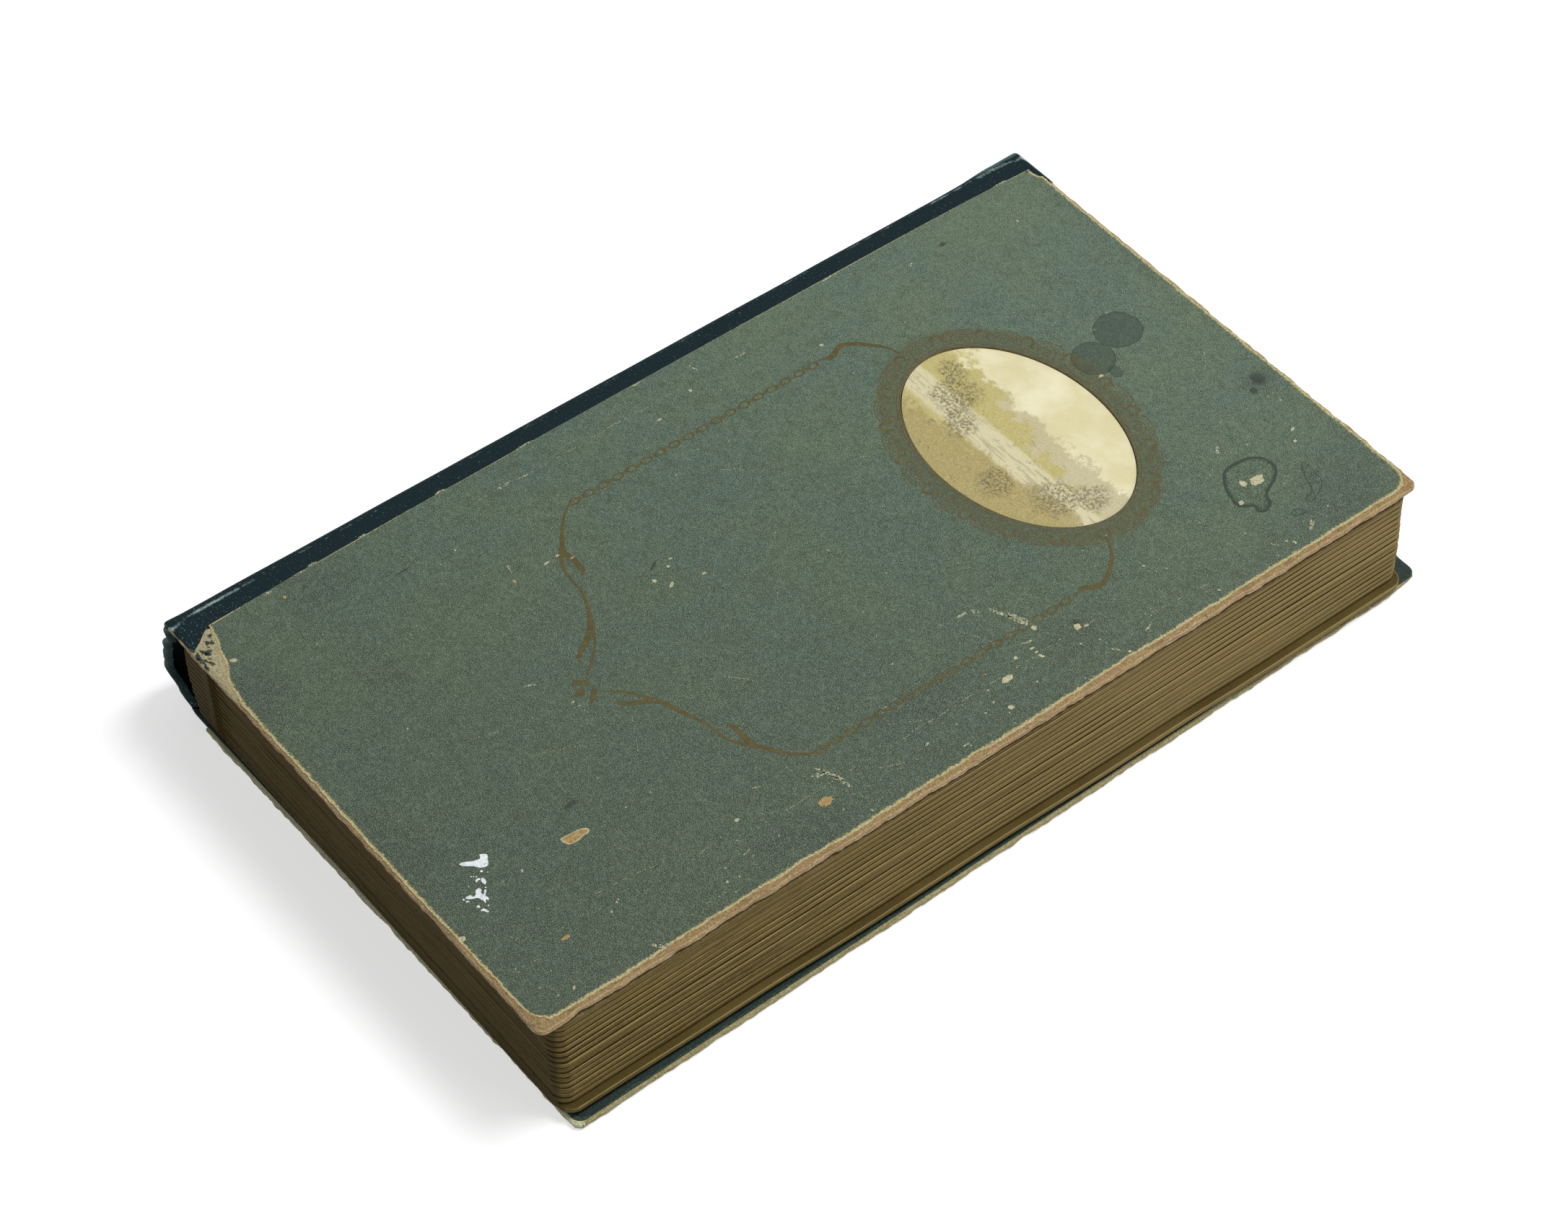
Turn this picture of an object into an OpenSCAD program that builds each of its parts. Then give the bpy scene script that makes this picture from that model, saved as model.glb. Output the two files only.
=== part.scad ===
// Portrait album for cards, lying closed with its front cover up.
// u runs from the cover joints toward the fore edge, v from tail to head, z up from the table.

/* [Covers] */
// Width of each board
board_w = 221.5; // [190:0.5:250]
// Height of each board, tail to head
board_h = 393; // [360:1:430]
// Thickness of the greyboard
board_t = 2.2; // [1.8:0.1:3]
// Thickness of the covering paper and of the spine cloth
skin_t = 0.4; // [0.3:0.05:0.6]
// Thickness of the covering paper where it is turned in over a board
turn_in_t = 0.3; // [0.2:0.05:0.5]
// Thickness of a pastedown
pastedown_t = 0.3; // [0.2:0.05:0.5]
// Radius of a board's fore corners
board_r = 4; // [2:0.5:8]
// Gap between a cover joint and the board's edge
joint_gap = 0.8; // [0.6:0.1:2]
// Width of the spine cloth on a board at the tail
cloth_tail = 9; // [7:0.5:14]
// Width of the spine cloth on a board at the head
cloth_head = 6.5; // [5:0.5:14]
// How far the covering paper is worn back from a board's edges
worn_back = 2.5; // [1:0.1:4]
// Width of the turned-in paper
turn_in_w = 14; // [10:1:20]
// How far a pastedown stays inside the board's edges
pastedown_in = 3; // [1.5:0.5:5]
// How far the back board has slipped past the front one toward the fore edge
slip_u = 4.7; // [0:0.1:6]
// How far the back board has slipped past the front one toward the head
slip_v = 5.9; // [0:0.1:7]
// How far the back board has turned in its slack joint, in degrees
back_turn = 0.8; // [0:0.1:1]

/* [Oval picture] */
// Width of the oval recess
oval_w = 104; // [80:0.2:120]
// Height of the oval recess
oval_h = 70.8; // [50:0.2:90]
// Distance of the oval's centre from the cover joint
oval_from_joint = 113.7; // [105:0.1:125]
// Distance of the oval's centre from the board's tail edge
oval_from_tail = 294.8; // [260:0.1:300]
// Turn of the oval on the board, in degrees
oval_turn = 1.8; // [0:0.1:3]
// Depth of the recess below the covering paper
recess_deep = 1; // [0.7:0.1:1.4]
// Thickness of the printed picture
picture_t = 0.3; // [0.2:0.05:0.5]
// Clearance of the picture in its recess
picture_clear = 0.3; // [0.1:0.1:1]

/* [Leaves] */
// Number of card leaves
leaf_count = 16; // [8:1:18]
// Thickness of a card leaf
leaf_t = 2.2; // [1.4:0.1:2.6]
// Thickness of a flyleaf
flyleaf_t = 0.5; // [0.3:0.1:0.8]
// Gap between two leaves
leaf_gap = 0.65; // [0.5:0.05:1]
// Gap between a flyleaf and its cover
cover_clear = 0.6; // [0.4:0.1:1]
// Width of a leaf, from its crease to its fore edge
leaf_w = 208; // [196:0.5:209]
// Height of a leaf
leaf_h = 384; // [350:0.5:386]
// Radius of a leaf's fore corners
leaf_r = 6; // [3:0.5:12]
// Distance of the front leaf from the front board's tail edge
leaf_from_tail = 5.4; // [1:0.2:7]
// How far the leaves lean toward the fore edge, from the front one to the back one
lean_u = 0.8; // [0:0.1:3]
// How far the leaves lean toward the head, from the front one to the back one
lean_v = 1; // [0:0.1:4]
// How much wider than the others the last leaf is
last_wider = 2.9; // [0:0.1:3]
// Length of linen between the crease and a leaf's card
linen_w = 6; // [5:0.5:8]
// Thickness of the linen hinge
linen_t = 0.5; // [0.3:0.05:0.6]
// Thickness of a leaf at its skived inner edge
skived_t = 0.8; // [0.6:0.1:1]
// Width of the skived band
skived_w = 6; // [5:0.5:10]

/* [Card slits] */
// Width of a card
card_w = 90; // [80:1:92]
// Height of a card
card_h = 140; // [120:1:150]
// Length of a corner slit
slit_long = 16; // [8:0.5:20]
// Width of a corner slit
slit_wide = 0.6; // [0.4:0.1:1]

/* [Sewn back] */
// Distance of the back of the leaf block from the cover joints
block_from_joint = 3; // [2.6:0.1:5]
// Width of a guard stub, from the back of the block to its crease
stub_w = 11; // [9:0.5:16]
// Thickness of the open-weave lining glued to the back of the block
mull_t = 0.6; // [0.4:0.1:0.8]
// Number of sewing tapes
tape_count = 4; // [3:1:6]
// Width of a sewing tape
tape_w = 12; // [8:1:18]
// Thickness of a sewing tape
tape_t = 0.6; // [0.4:0.1:0.8]
// Distance of the first and last tape from the ends of the block
tape_inset = 50; // [30:1:70]
// Diameter of the sewing thread
thread_d = 0.6; // [0.4:0.1:0.8]
// Length of a stitch past each side of its tape
stitch_past = 1.5; // [1:0.5:3]
// How far the spine cloth bows out past the cover joints
bow_out = 8; // [5:0.5:12]
// Thickness of the card strip that lines the spine cloth
spine_card_t = 0.5; // [0.3:0.1:0.8]
// How far the spine card stays inside the ends of the cloth
spine_card_in = 8; // [4:1:20]

/* [Hidden] */
$fn = 64;
eps = 0.01;
arc_steps = 8;

sheet_count = leaf_count + 2;
cover_t = skin_t + board_t + turn_in_t + pastedown_t;
album_t = 2 * (cover_t + cover_clear + flyleaf_t) + leaf_count * leaf_t + (leaf_count + 1) * leaf_gap;
fore_u = joint_gap + board_w;
crease_u = block_from_joint + stub_w;
mull_u = block_from_joint - mull_t;
tape_u = mull_u - tape_t;

// Sheet 0 is the back flyleaf and the last sheet is the front one.
function is_leaf(i) = i > 0 && i < sheet_count - 1;
function sheet_t(i) = is_leaf(i) ? leaf_t : flyleaf_t;
function sheet_z(i) = i == 0 ? cover_t + cover_clear + flyleaf_t / 2
    : sheet_z(i - 1) + (sheet_t(i - 1) + sheet_t(i)) / 2 + leaf_gap;
function depth(i) = 1 - i / (sheet_count - 1);
function sheet_u(i) = crease_u + lean_u * depth(i);
function sheet_v(i) = leaf_from_tail + lean_v * depth(i);
function sheet_w(i) = leaf_w + (i == 1 ? last_wider : 0);
// Leaves are numbered from the front one, as a reader turns them.
function leaf_sheet(number) = leaf_count + 1 - number;
function leaf_name(number) = str(number < 10 ? "leaf_0" : "leaf_", number);

function arc(u, v, r, from, to) = [
    for (k = [0:arc_steps])
        let (a = from + (to - from) * k / arc_steps)
            [u + r * cos(a), v + r * sin(a)]
];

// A sheet with a square inner edge, which may slant, and two round fore corners.
function sheet_outline(tail_u, head_u, fore, tail, head, r) = concat(
    [[tail_u, tail]],
    arc(fore - r, tail + r, r, -90, 0),
    arc(fore - r, head - r, r, 0, 90),
    [[head_u, head]]
);

// A board, and where a point of the back one has gone with its slip and turn.
board_outline = sheet_outline(joint_gap, joint_gap, fore_u, 0, board_h, board_r);
function slipped(p) = let (u = p[0] - fore_u / 2, v = p[1] - board_h / 2) [
    fore_u / 2 + slip_u + u * cos(back_turn) - v * sin(back_turn),
    board_h / 2 + slip_v + u * sin(back_turn) + v * cos(back_turn)
];

// The frame stands at the bottom centre of the whole album.
mid_u = (max([for (p = board_outline) slipped(p)[0]]) - bow_out) / 2;
mid_v = max([for (p = board_outline) slipped(p)[1]]) / 2;

function oval_outline(w, h) = [for (a = [0:5:355]) [w / 2 * cos(a), h / 2 * sin(a)]];

module slab(z, t) translate([0, 0, z]) linear_extrude(t) children();

// Places its children in the closed album, on the table.
module in_frame() translate([-mid_u, -mid_v, 0]) children();

// The two covers are built alike, outside down. The front one is turned over and lies on top.
module as_back() in_frame() translate([fore_u / 2 + slip_u, board_h / 2 + slip_v, 0])
    rotate([0, 0, back_turn]) translate([-fore_u / 2, -board_h / 2, 0]) children();
module as_front() in_frame() translate([0, 0, album_t]) mirror([0, 0, 1]) children();

module cover_board() slab(skin_t, board_t) polygon(board_outline);

module cover_paper() slab(0, skin_t)
    polygon(sheet_outline(cloth_tail, cloth_head, fore_u - worn_back, worn_back, board_h - worn_back, board_r));

// The cloth on a board runs from the joint to the covering paper.
cloth_edge = [[cloth_tail, 0], [cloth_tail, worn_back],
    [cloth_head, board_h - worn_back], [cloth_head, board_h]];

module turn_in_window(from_u) polygon([
    [from_u, turn_in_w], [fore_u - turn_in_w, turn_in_w],
    [fore_u - turn_in_w, board_h - turn_in_w], [from_u, board_h - turn_in_w]
]);

module turn_ins() slab(skin_t + board_t, turn_in_t) difference() {
    polygon(sheet_outline(joint_gap, joint_gap, fore_u - worn_back / 2, worn_back / 2,
        board_h - worn_back / 2, board_r));
    turn_in_window(0);
}

module pastedown() {
    slab(skin_t + board_t, turn_in_t + eps) turn_in_window(joint_gap);
    slab(skin_t + board_t + turn_in_t, pastedown_t)
        polygon(sheet_outline(joint_gap, joint_gap, fore_u - pastedown_in, pastedown_in,
            board_h - pastedown_in, board_r));
}

module at_oval() translate([oval_from_joint, oval_from_tail, 0]) rotate([0, 0, oval_turn])
    children();

// Covers
module front_board() color("tan") as_front() difference() {
    cover_board();
    at_oval() slab(0, recess_deep) polygon(oval_outline(oval_w, oval_h));
}

module back_board() color("tan") as_back() cover_board();

module front_cover_paper() color("darkseagreen") as_front() difference() {
    cover_paper();
    at_oval() slab(-eps, skin_t + 2 * eps) polygon(oval_outline(oval_w, oval_h));
}

module back_cover_paper() color("darkseagreen") as_back() cover_paper();

module oval_picture() color("khaki") as_front() at_oval()
    slab(recess_deep - picture_t, picture_t)
        polygon(oval_outline(oval_w - 2 * picture_clear, oval_h - 2 * picture_clear));

module front_cloth_strip() color("darkslategray") as_front() slab(0, skin_t)
    polygon(concat([[0, 0]], cloth_edge, [[0, board_h]]));

// The back strip reaches the joint although its board has slipped away from it.
module back_cloth_strip() color("darkslategray") in_frame() slab(0, skin_t)
    polygon(concat([[0, slipped([0, 0])[1]]], [for (p = cloth_edge) slipped(p)],
        [[0, slipped([0, board_h])[1]]]));

module front_turn_ins() color("seagreen") as_front() turn_ins();

module back_turn_ins() color("seagreen") as_back() turn_ins();

module front_pastedown() color("darkslategray") as_front() pastedown();

module back_pastedown() color("darkslategray") as_back() pastedown();

// Leaves
module fore_corners(i) in_frame() translate([sheet_u(i), sheet_v(i), 0])
    slab(0, album_t) polygon(sheet_outline(0, 0, sheet_w(i), 0, leaf_h, leaf_r));

// Side view of a sheet: its card starts past the linen and is skived thin there.
module card_side(i) {
    t = sheet_t(i);
    w = sheet_w(i);
    inner = min(t, skived_t);
    polygon([
        [linen_w, -inner / 2], [linen_w + skived_w, -t / 2], [w, -t / 2],
        [w, t / 2], [linen_w + skived_w, t / 2], [linen_w, inner / 2]
    ]);
}

module sheet(i) intersection() {
    in_frame() translate([sheet_u(i), sheet_v(i) + leaf_h, sheet_z(i)])
        rotate([90, 0, 0]) linear_extrude(leaf_h) card_side(i);
    fore_corners(i);
}

// Four cards lie on a leaf, two by two, each held in a slit across every corner.
module slits(i) {
    card_from = linen_w + skived_w;
    free_u = (leaf_w - card_from - 2 * card_w) / 3;
    free_v = (leaf_h - 2 * card_h) / 3;
    reach = slit_long / 2 / sqrt(2);
    in_frame() translate([sheet_u(i), sheet_v(i), sheet_z(i)])
        for (m = [0, 1], n = [0, 1])
            translate([
                card_from + free_u + card_w / 2 + m * (card_w + free_u),
                free_v + card_h / 2 + n * (card_h + free_v), 0
            ])
                for (p = [-1, 1], q = [-1, 1])
                    translate([p * (card_w / 2 - reach), q * (card_h / 2 - reach), 0])
                        rotate([0, 0, -45 * p * q])
                            cube([slit_long, slit_wide, leaf_t + 1], center = true);
}

module leaf(number) color("peru") difference() {
    sheet(leaf_sheet(number));
    slits(leaf_sheet(number));
}

module back_flyleaf() color("sienna") sheet(0);

module front_flyleaf() color("sienna") sheet(sheet_count - 1);

// Sewn back
module guard_stubs() color("burlywood")
    for (i = [0:sheet_count - 1])
        in_frame() translate([block_from_joint, sheet_v(i), sheet_z(i) - sheet_t(i) / 2])
            cube([sheet_u(i) - linen_t - block_from_joint, leaf_h, sheet_t(i)]);

// Each linen hinge has a round crease on the leaf's turning axis.
module leaf_hinges() color("beige")
    for (i = [0:sheet_count - 1])
        in_frame() translate([sheet_u(i), sheet_v(i), sheet_z(i)]) {
            t = min(linen_t, sheet_t(i) - 2 * eps);
            translate([-linen_t, 0, -t / 2]) cube([linen_w + linen_t, leaf_h, t]);
            rotate([-90, 0, 0]) cylinder(d = t + 2 * eps, h = leaf_h, $fn = 24);
        }

block_foot = sheet_z(0) - flyleaf_t / 2;
block_top = sheet_z(sheet_count - 1) + flyleaf_t / 2;
block_tail = leaf_from_tail + lean_v;
block_head = leaf_from_tail + leaf_h;

module mull_lining() color("wheat") in_frame()
    translate([mull_u, block_tail, block_foot])
        cube([mull_t, block_head - block_tail, block_top - block_foot]);

function tape_v(n) = block_tail + tape_inset
    + n * (block_head - block_tail - 2 * tape_inset) / (tape_count - 1);

module sewing_tapes() color("ivory") in_frame()
    for (n = [0:tape_count - 1])
        translate([tape_u, tape_v(n) - tape_w / 2, block_foot])
            cube([tape_t, tape_w, block_top - block_foot]);

// One stitch for each leaf passes over every tape.
module sewing_thread() color("white") in_frame()
    for (n = [0:tape_count - 1], i = [1:leaf_count])
        translate([tape_u - thread_d / 2, tape_v(n) - tape_w / 2 - stitch_past, sheet_z(i)])
            rotate([-90, 0, 0])
                cylinder(d = thread_d, h = tape_w + 2 * stitch_past, $fn = 24);

// Side view of the hollow back: a quarter round about each joint and a bow between them.
bow_chord = album_t - 2 * cover_t;
bow_rise = bow_out - cover_t;
bow_r = (bow_chord * bow_chord / 4 + bow_rise * bow_rise) / (2 * bow_rise);
bow_u = bow_r - bow_out;
bow_half = asin(bow_chord / 2 / bow_r);

function bow_arc(r) = arc(bow_u, album_t / 2, r, 180 + bow_half, 180 - bow_half);

module along_back(tail, long) in_frame() translate([0, tail + long, 0])
    rotate([90, 0, 0]) linear_extrude(long) children();

module spine_cloth() color("darkslategray") along_back(slip_v / 2, board_h)
    polygon(concat(
        arc(0, cover_t, cover_t, -90, -180),
        bow_arc(bow_r),
        arc(0, album_t - cover_t, cover_t, 180, 90),
        arc(0, album_t - cover_t, cover_t - skin_t, 90, 180),
        [for (k = [arc_steps:-1:0]) bow_arc(bow_r - skin_t)[k]],
        arc(0, cover_t, cover_t - skin_t, -180, -90)
    ));

module spine_card() color("tan")
    along_back(slip_v / 2 + spine_card_in, board_h - 2 * spine_card_in)
        polygon(concat(
            bow_arc(bow_r - skin_t),
            [for (k = [arc_steps:-1:0]) bow_arc(bow_r - skin_t - spine_card_t)[k]]
        ));

back_board();
back_cover_paper();
back_cloth_strip();
back_turn_ins();
back_pastedown();
front_board();
front_cover_paper();
front_cloth_strip();
front_turn_ins();
front_pastedown();
oval_picture();
spine_cloth();
spine_card();
guard_stubs();
leaf_hinges();
mull_lining();
sewing_tapes();
sewing_thread();
back_flyleaf();
front_flyleaf();
for (number = [1:leaf_count])
    leaf(number);
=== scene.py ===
import math
import bmesh
import bpy
from mathutils import Matrix, Vector, noise


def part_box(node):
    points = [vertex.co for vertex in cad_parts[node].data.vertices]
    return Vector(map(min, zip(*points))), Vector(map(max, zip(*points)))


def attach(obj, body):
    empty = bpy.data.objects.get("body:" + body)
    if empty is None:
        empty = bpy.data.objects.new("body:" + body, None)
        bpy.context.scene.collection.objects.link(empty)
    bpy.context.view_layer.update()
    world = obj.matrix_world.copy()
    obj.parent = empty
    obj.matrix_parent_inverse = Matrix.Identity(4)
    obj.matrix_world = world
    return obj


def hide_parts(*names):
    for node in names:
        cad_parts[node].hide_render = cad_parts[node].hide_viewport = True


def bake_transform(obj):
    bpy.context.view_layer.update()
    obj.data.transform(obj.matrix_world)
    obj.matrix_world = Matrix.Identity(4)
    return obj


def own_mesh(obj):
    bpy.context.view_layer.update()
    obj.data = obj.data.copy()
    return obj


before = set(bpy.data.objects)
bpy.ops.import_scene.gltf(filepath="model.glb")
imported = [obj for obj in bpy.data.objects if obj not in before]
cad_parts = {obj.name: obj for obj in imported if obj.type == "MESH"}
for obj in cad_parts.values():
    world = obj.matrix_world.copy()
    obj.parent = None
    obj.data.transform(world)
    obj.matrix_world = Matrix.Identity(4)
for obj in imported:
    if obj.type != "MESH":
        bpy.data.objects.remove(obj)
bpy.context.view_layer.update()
print("frame loaded")

# The pieces are modelled in millimetres as a binder measures an album: u from the
# cover joints to the fore edge, v from tail to head, z up from the table.
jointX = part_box("front_cloth_strip")[0].x
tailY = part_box("front_board")[0].y
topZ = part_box("front_cover_paper")[1].z * 1000
toFrame = Matrix.Translation((jointX, tailY, 0)) @ Matrix.Scale(0.001, 4)

album = {
    "boardWide": 221.5,
    "boardTall": 393,
    "boardThick": 2.2,
    "jointGap": 0.8,
    "coverThick": 3.2,
    "slipU": 4.7,
    "slipV": 5.9,
    "backTurn": 0.8,
}
oval = {
    "u": 114.1,
    "v": 294.5,
    "wide": 102.6,
    "high": 71.2,
    "turn": 1.2,
    "deep": 1,
    "picture": 0.3,
    "play": 0.7,
}
foreU = album["jointGap"] + album["boardWide"]
tall = album["boardTall"]


# helpers for modelling
def onlySelect(piece):
    bpy.ops.object.select_all(action="DESELECT")
    piece.select_set(True)
    bpy.context.view_layer.objects.active = piece


def editMode(on):
    bpy.ops.object.mode_set(mode="EDIT" if on else "OBJECT")


def pick(kind, test):
    # selects vertices, edges or faces of the piece in edit mode by a test on each
    bpy.ops.mesh.select_mode(type=kind)
    bpy.ops.mesh.select_all(action="DESELECT")
    mesh = bmesh.from_edit_mesh(bpy.context.edit_object.data)
    for part in {"VERT": mesh.verts, "EDGE": mesh.edges, "FACE": mesh.faces}[kind]:
        if test(part):
            part.select_set(True)
    mesh.select_flush_mode()
    bmesh.update_edit_mesh(bpy.context.edit_object.data)


def start(primitive, **settings):
    # adds a primitive with nothing else selected
    bpy.ops.object.select_all(action="DESELECT")
    primitive(**settings)
    return bpy.context.object


def sized(piece, *size):
    # scales a new primitive, and puts its place and turn into its mesh
    piece.scale = size
    bpy.ops.object.transform_apply(location=True, rotation=True, scale=True)
    return piece


def startGrid(name, low, high, z, cellsU, cellsV):
    centre = ((low[0] + high[0]) / 2, (low[1] + high[1]) / 2, z)
    piece = start(bpy.ops.mesh.primitive_grid_add, x_subdivisions=cellsU, y_subdivisions=cellsV, size=1,
                  location=centre)
    piece.name = name
    return sized(piece, high[0] - low[0], high[1] - low[1], 1)


def copyPiece(piece):
    double = piece.copy()
    double.data = piece.data.copy()
    bpy.context.scene.collection.objects.link(double)
    return double


def joinPieces(name, parts):
    onlySelect(parts[0])
    for part in parts:
        part.select_set(True)
    bpy.ops.object.join()
    piece = bpy.context.object
    piece.name = name
    return piece


def applyModifier(piece, kind, **settings):
    onlySelect(piece)
    modifier = piece.modifiers.new(kind.title(), kind)
    for key, value in settings.items():
        setattr(modifier, key, value)
    bpy.ops.object.modifier_apply(modifier=modifier.name)


def faceOutwards():
    bpy.ops.mesh.select_all(action="SELECT")
    bpy.ops.mesh.normals_make_consistent(inside=False)


def thicken(piece, step, steps=1):
    onlySelect(piece)
    editMode(True)
    pick("FACE", lambda face: True)
    for count in range(steps):
        bpy.ops.mesh.extrude_region_move(TRANSFORM_OT_translate={"value": (0, 0, step)})
    faceOutwards()
    editMode(False)


def mould(piece, move):
    # moves every vertex to where move(place) says
    for vertex in piece.data.vertices:
        vertex.co = move(vertex.co)


def lift(piece, z):
    mould(piece, lambda p: p + Vector((0, 0, z)))


def wobble(u, v, w, size, depth=2):
    # smooth noise from about -1 to 1, whose humps are about size millimetres long
    return noise.fractal(Vector((u, v, w)) / size, 0.8, 2.1, depth)


def limit(share):
    return min(1, max(0, share))


def between(points, x):
    # straight from point to point of a line given as pairs
    if x <= points[0][0]:
        return points[0][1]
    for (x0, y0), (x1, y1) in zip(points, points[1:]):
        if x <= x1:
            return y0 + (y1 - y0) * (x - x0) / (x1 - x0)
    return points[-1][1]


def storeList(piece, name, values):
    # keeps a number at each vertex, for the finishes
    layer = piece.data.attributes.new(name, "FLOAT", "POINT")
    for index, value in enumerate(values):
        layer.data[index].value = value


def storeValue(piece, name, value):
    storeList(piece, name, [value(vertex.co) for vertex in piece.data.vertices])


def mapCloth(piece, place):
    # the cloth's own map, in metres, from each vertex's place across and along it
    layer = piece.data.uv_layers.new(name="Cloth")
    for loop in piece.data.loops:
        across, along = place(piece.data.vertices[loop.vertex_index])
        layer.data[loop.index].uv = (across / 1000, along / 1000)


def at(u, v, z):
    return toFrame @ Vector((u, v, z))


def done(piece, finish, body=None, standsFor=(), angle=40):
    # puts a finished piece into the frame, in metres, and lets it ride on its body
    onlySelect(piece)
    bpy.ops.object.shade_smooth_by_angle(angle=math.radians(angle))
    piece.data.transform(toFrame)
    piece.data.materials.clear()
    piece.data.materials.append(finish)
    if standsFor:
        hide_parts(*standsFor)
    if body:
        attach(piece, body)


# helpers for finishes
def paint(red, green, blue):
    # a colour as seen on screen, 0 to 255, as Blender's linear one
    def line(c):
        c = c / 255
        return c / 12.92 if c <= 0.04045 else ((c + 0.055) / 1.055) ** 2.4
    return (line(red), line(green), line(blue), 1)


class Wire:
    # a socket that can be added, multiplied and so on
    def __init__(self, finish, socket):
        self.finish = finish
        self.socket = socket

    def math(self, operation, first, second):
        return self.finish.add("ShaderNodeMath", {"operation": operation}, {0: first, 1: second})

    def __add__(self, other):
        return self.math("ADD", self, other)

    def __radd__(self, other):
        return self.math("ADD", other, self)

    def __sub__(self, other):
        return self.math("SUBTRACT", self, other)

    def __rsub__(self, other):
        return self.math("SUBTRACT", other, self)

    def __mul__(self, other):
        return self.math("MULTIPLY", self, other)

    def __rmul__(self, other):
        return self.math("MULTIPLY", other, self)

    def __or__(self, other):
        return self.math("MAXIMUM", self, other)

    def __and__(self, other):
        return self.math("MINIMUM", self, other)

    def other(self, name):
        # another output of the same node
        return Wire(self.finish, self.socket.node.outputs[name])


class Finish:
    def __init__(self, name, onCloth=False):
        self.material = bpy.data.materials.new(name)
        self.material.use_nodes = True
        self.tree = self.material.node_tree
        self.tree.nodes.clear()
        # millimetres from the joint, the tail and the table, or over the cloth's own map on the cloth and
        # card pieces
        if onCloth:
            place, shift = self.add("ShaderNodeUVMap", {"uv_map": "Cloth"}, {}), (0, 0, 0)
        else:
            place = self.add("ShaderNodeTexCoord", {}, {}, "Object")
            shift = (-jointX * 1000, -tailY * 1000, 0)
        self.where = self.add("ShaderNodeMapping", {}, {
            "Vector": place, "Location": shift, "Scale": (1000, 1000, 1000)})

    def add(self, kind, settings, values, output=0):
        node = self.tree.nodes.new(kind)
        for key, value in settings.items():
            setattr(node, key, value)
        for key, value in values.items():
            if isinstance(value, Wire):
                self.tree.links.new(value.socket, node.inputs[key])
            else:
                node.inputs[key].default_value = value
        return Wire(self, node.outputs[output])

    def part(self, axis, place=None):
        return self.add("ShaderNodeSeparateXYZ", {}, {0: place or self.where}, axis)

    def stored(self, name):
        return self.add("ShaderNodeAttribute", {"attribute_name": name}, {}, "Fac")

    def grain(self, size, detail=3, rough=0.55, stretch=(1, 1, 1), shift=(0, 0, 0)):
        # noise from 0 to 1 whose spots are about size millimetres
        place = self.where
        if stretch != (1, 1, 1) or shift != (0, 0, 0):
            place = self.add("ShaderNodeMapping", {}, {"Vector": place, "Location": shift, "Scale": stretch})
        return self.add("ShaderNodeTexNoise", {}, {
            "Vector": place, "Scale": 1 / size, "Detail": detail, "Roughness": rough})

    def rise(self, value, low, high):
        return self.add("ShaderNodeMapRange", {"interpolation_type": "SMOOTHSTEP"}, {
            "Value": value, "From Min": low, "From Max": high})

    def mix(self, mask, first, second):
        # from one colour to another, each a socket or a colour as seen on screen
        first, second = (paint(*end) if isinstance(end, tuple) else end for end in (first, second))
        return self.add("ShaderNodeMix", {"data_type": "RGBA"}, {0: mask, 6: first, 7: second}, 2)

    def fibres(self, value, dark, light, low=0.3, high=0.7):
        return self.mix(self.rise(value, low, high), dark, light)

    def spotPlace(self, u, v, turn, **scale):
        return self.add("ShaderNodeMapping", {"vector_type": "TEXTURE"}, {
            "Vector": self.where, "Location": (u, v, 0), "Rotation": (0, 0, math.radians(turn)), **scale})

    def spotAway(self, u, v, long, wide, turn):
        # distance from the middle of an oval spot, 1 at its edge, long and wide being its half sizes
        place = self.spotPlace(u, v, turn, Scale=(long, wide, 9000))
        return self.add("ShaderNodeVectorMath", {"operation": "LENGTH"}, {0: place}, "Value")

    def ovalAway(self):
        return self.spotAway(oval["u"], oval["v"], oval["wide"] / 2, oval["high"] / 2, oval["turn"])

    def marks(self, spots, rag, size, soft=0.1):
        # many ragged spots at once, each with its place, half length, half width and turn
        nearest = None
        for spot in spots:
            away = self.spotAway(*spot)
            nearest = away if nearest is None else nearest & away
        return self.rise(nearest + (self.grain(size, 4, 0.7) - 0.5) * (2 * rag), 1 + soft, 1 - soft)

    def close(self, colour, rough, bump=None, depth=0.1, specular=0.35):
        values = {"Base Color": colour, "Roughness": rough, "Specular IOR Level": specular}
        if bump is not None:
            values["Normal"] = self.add("ShaderNodeBump", {}, {"Height": bump, "Distance": depth / 1000})
        shader = self.add("ShaderNodeBsdfPrincipled", {}, values)
        ending = self.tree.nodes.new("ShaderNodeOutputMaterial")
        self.tree.links.new(shader.socket, ending.inputs["Surface"])
        return self.material


# camera and light
view = {
    "eye": (0.755651, -0.610370, 1.130569),
    "right": (0.6189829, 0.7854197, 0.0020549),
    "up": (-0.5924601, 0.4652466, 0.6576446),
    "lens": 93.42,
    "sensor": 36,
    "far": 10,
}
right, up = Vector(view["right"]), Vector(view["up"])
turn = Matrix((right, up, right.cross(up))).transposed()
bpy.ops.object.camera_add(location=view["eye"], rotation=turn.to_euler())
camera = bpy.context.object
camera.data.lens = view["lens"]
camera.data.sensor_width = view["sensor"]
camera.data.clip_end = view["far"]
bpy.context.scene.camera = camera

light = {
    "keyPower": 22,
    "keySize": 0.65,
    "keyPlace": (0.35, 0.5, 1.7),
    "fillPower": 6,
    "fillSize": 1,
    "fillPlace": (1.8, 0.9, 0.7),
    "sky": 0.36,
    "floorGlow": 0.32,
    "glowStrength": 1.75,
    "floorWide": 8,
    "floorDrop": 0.0002,
}


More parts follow.
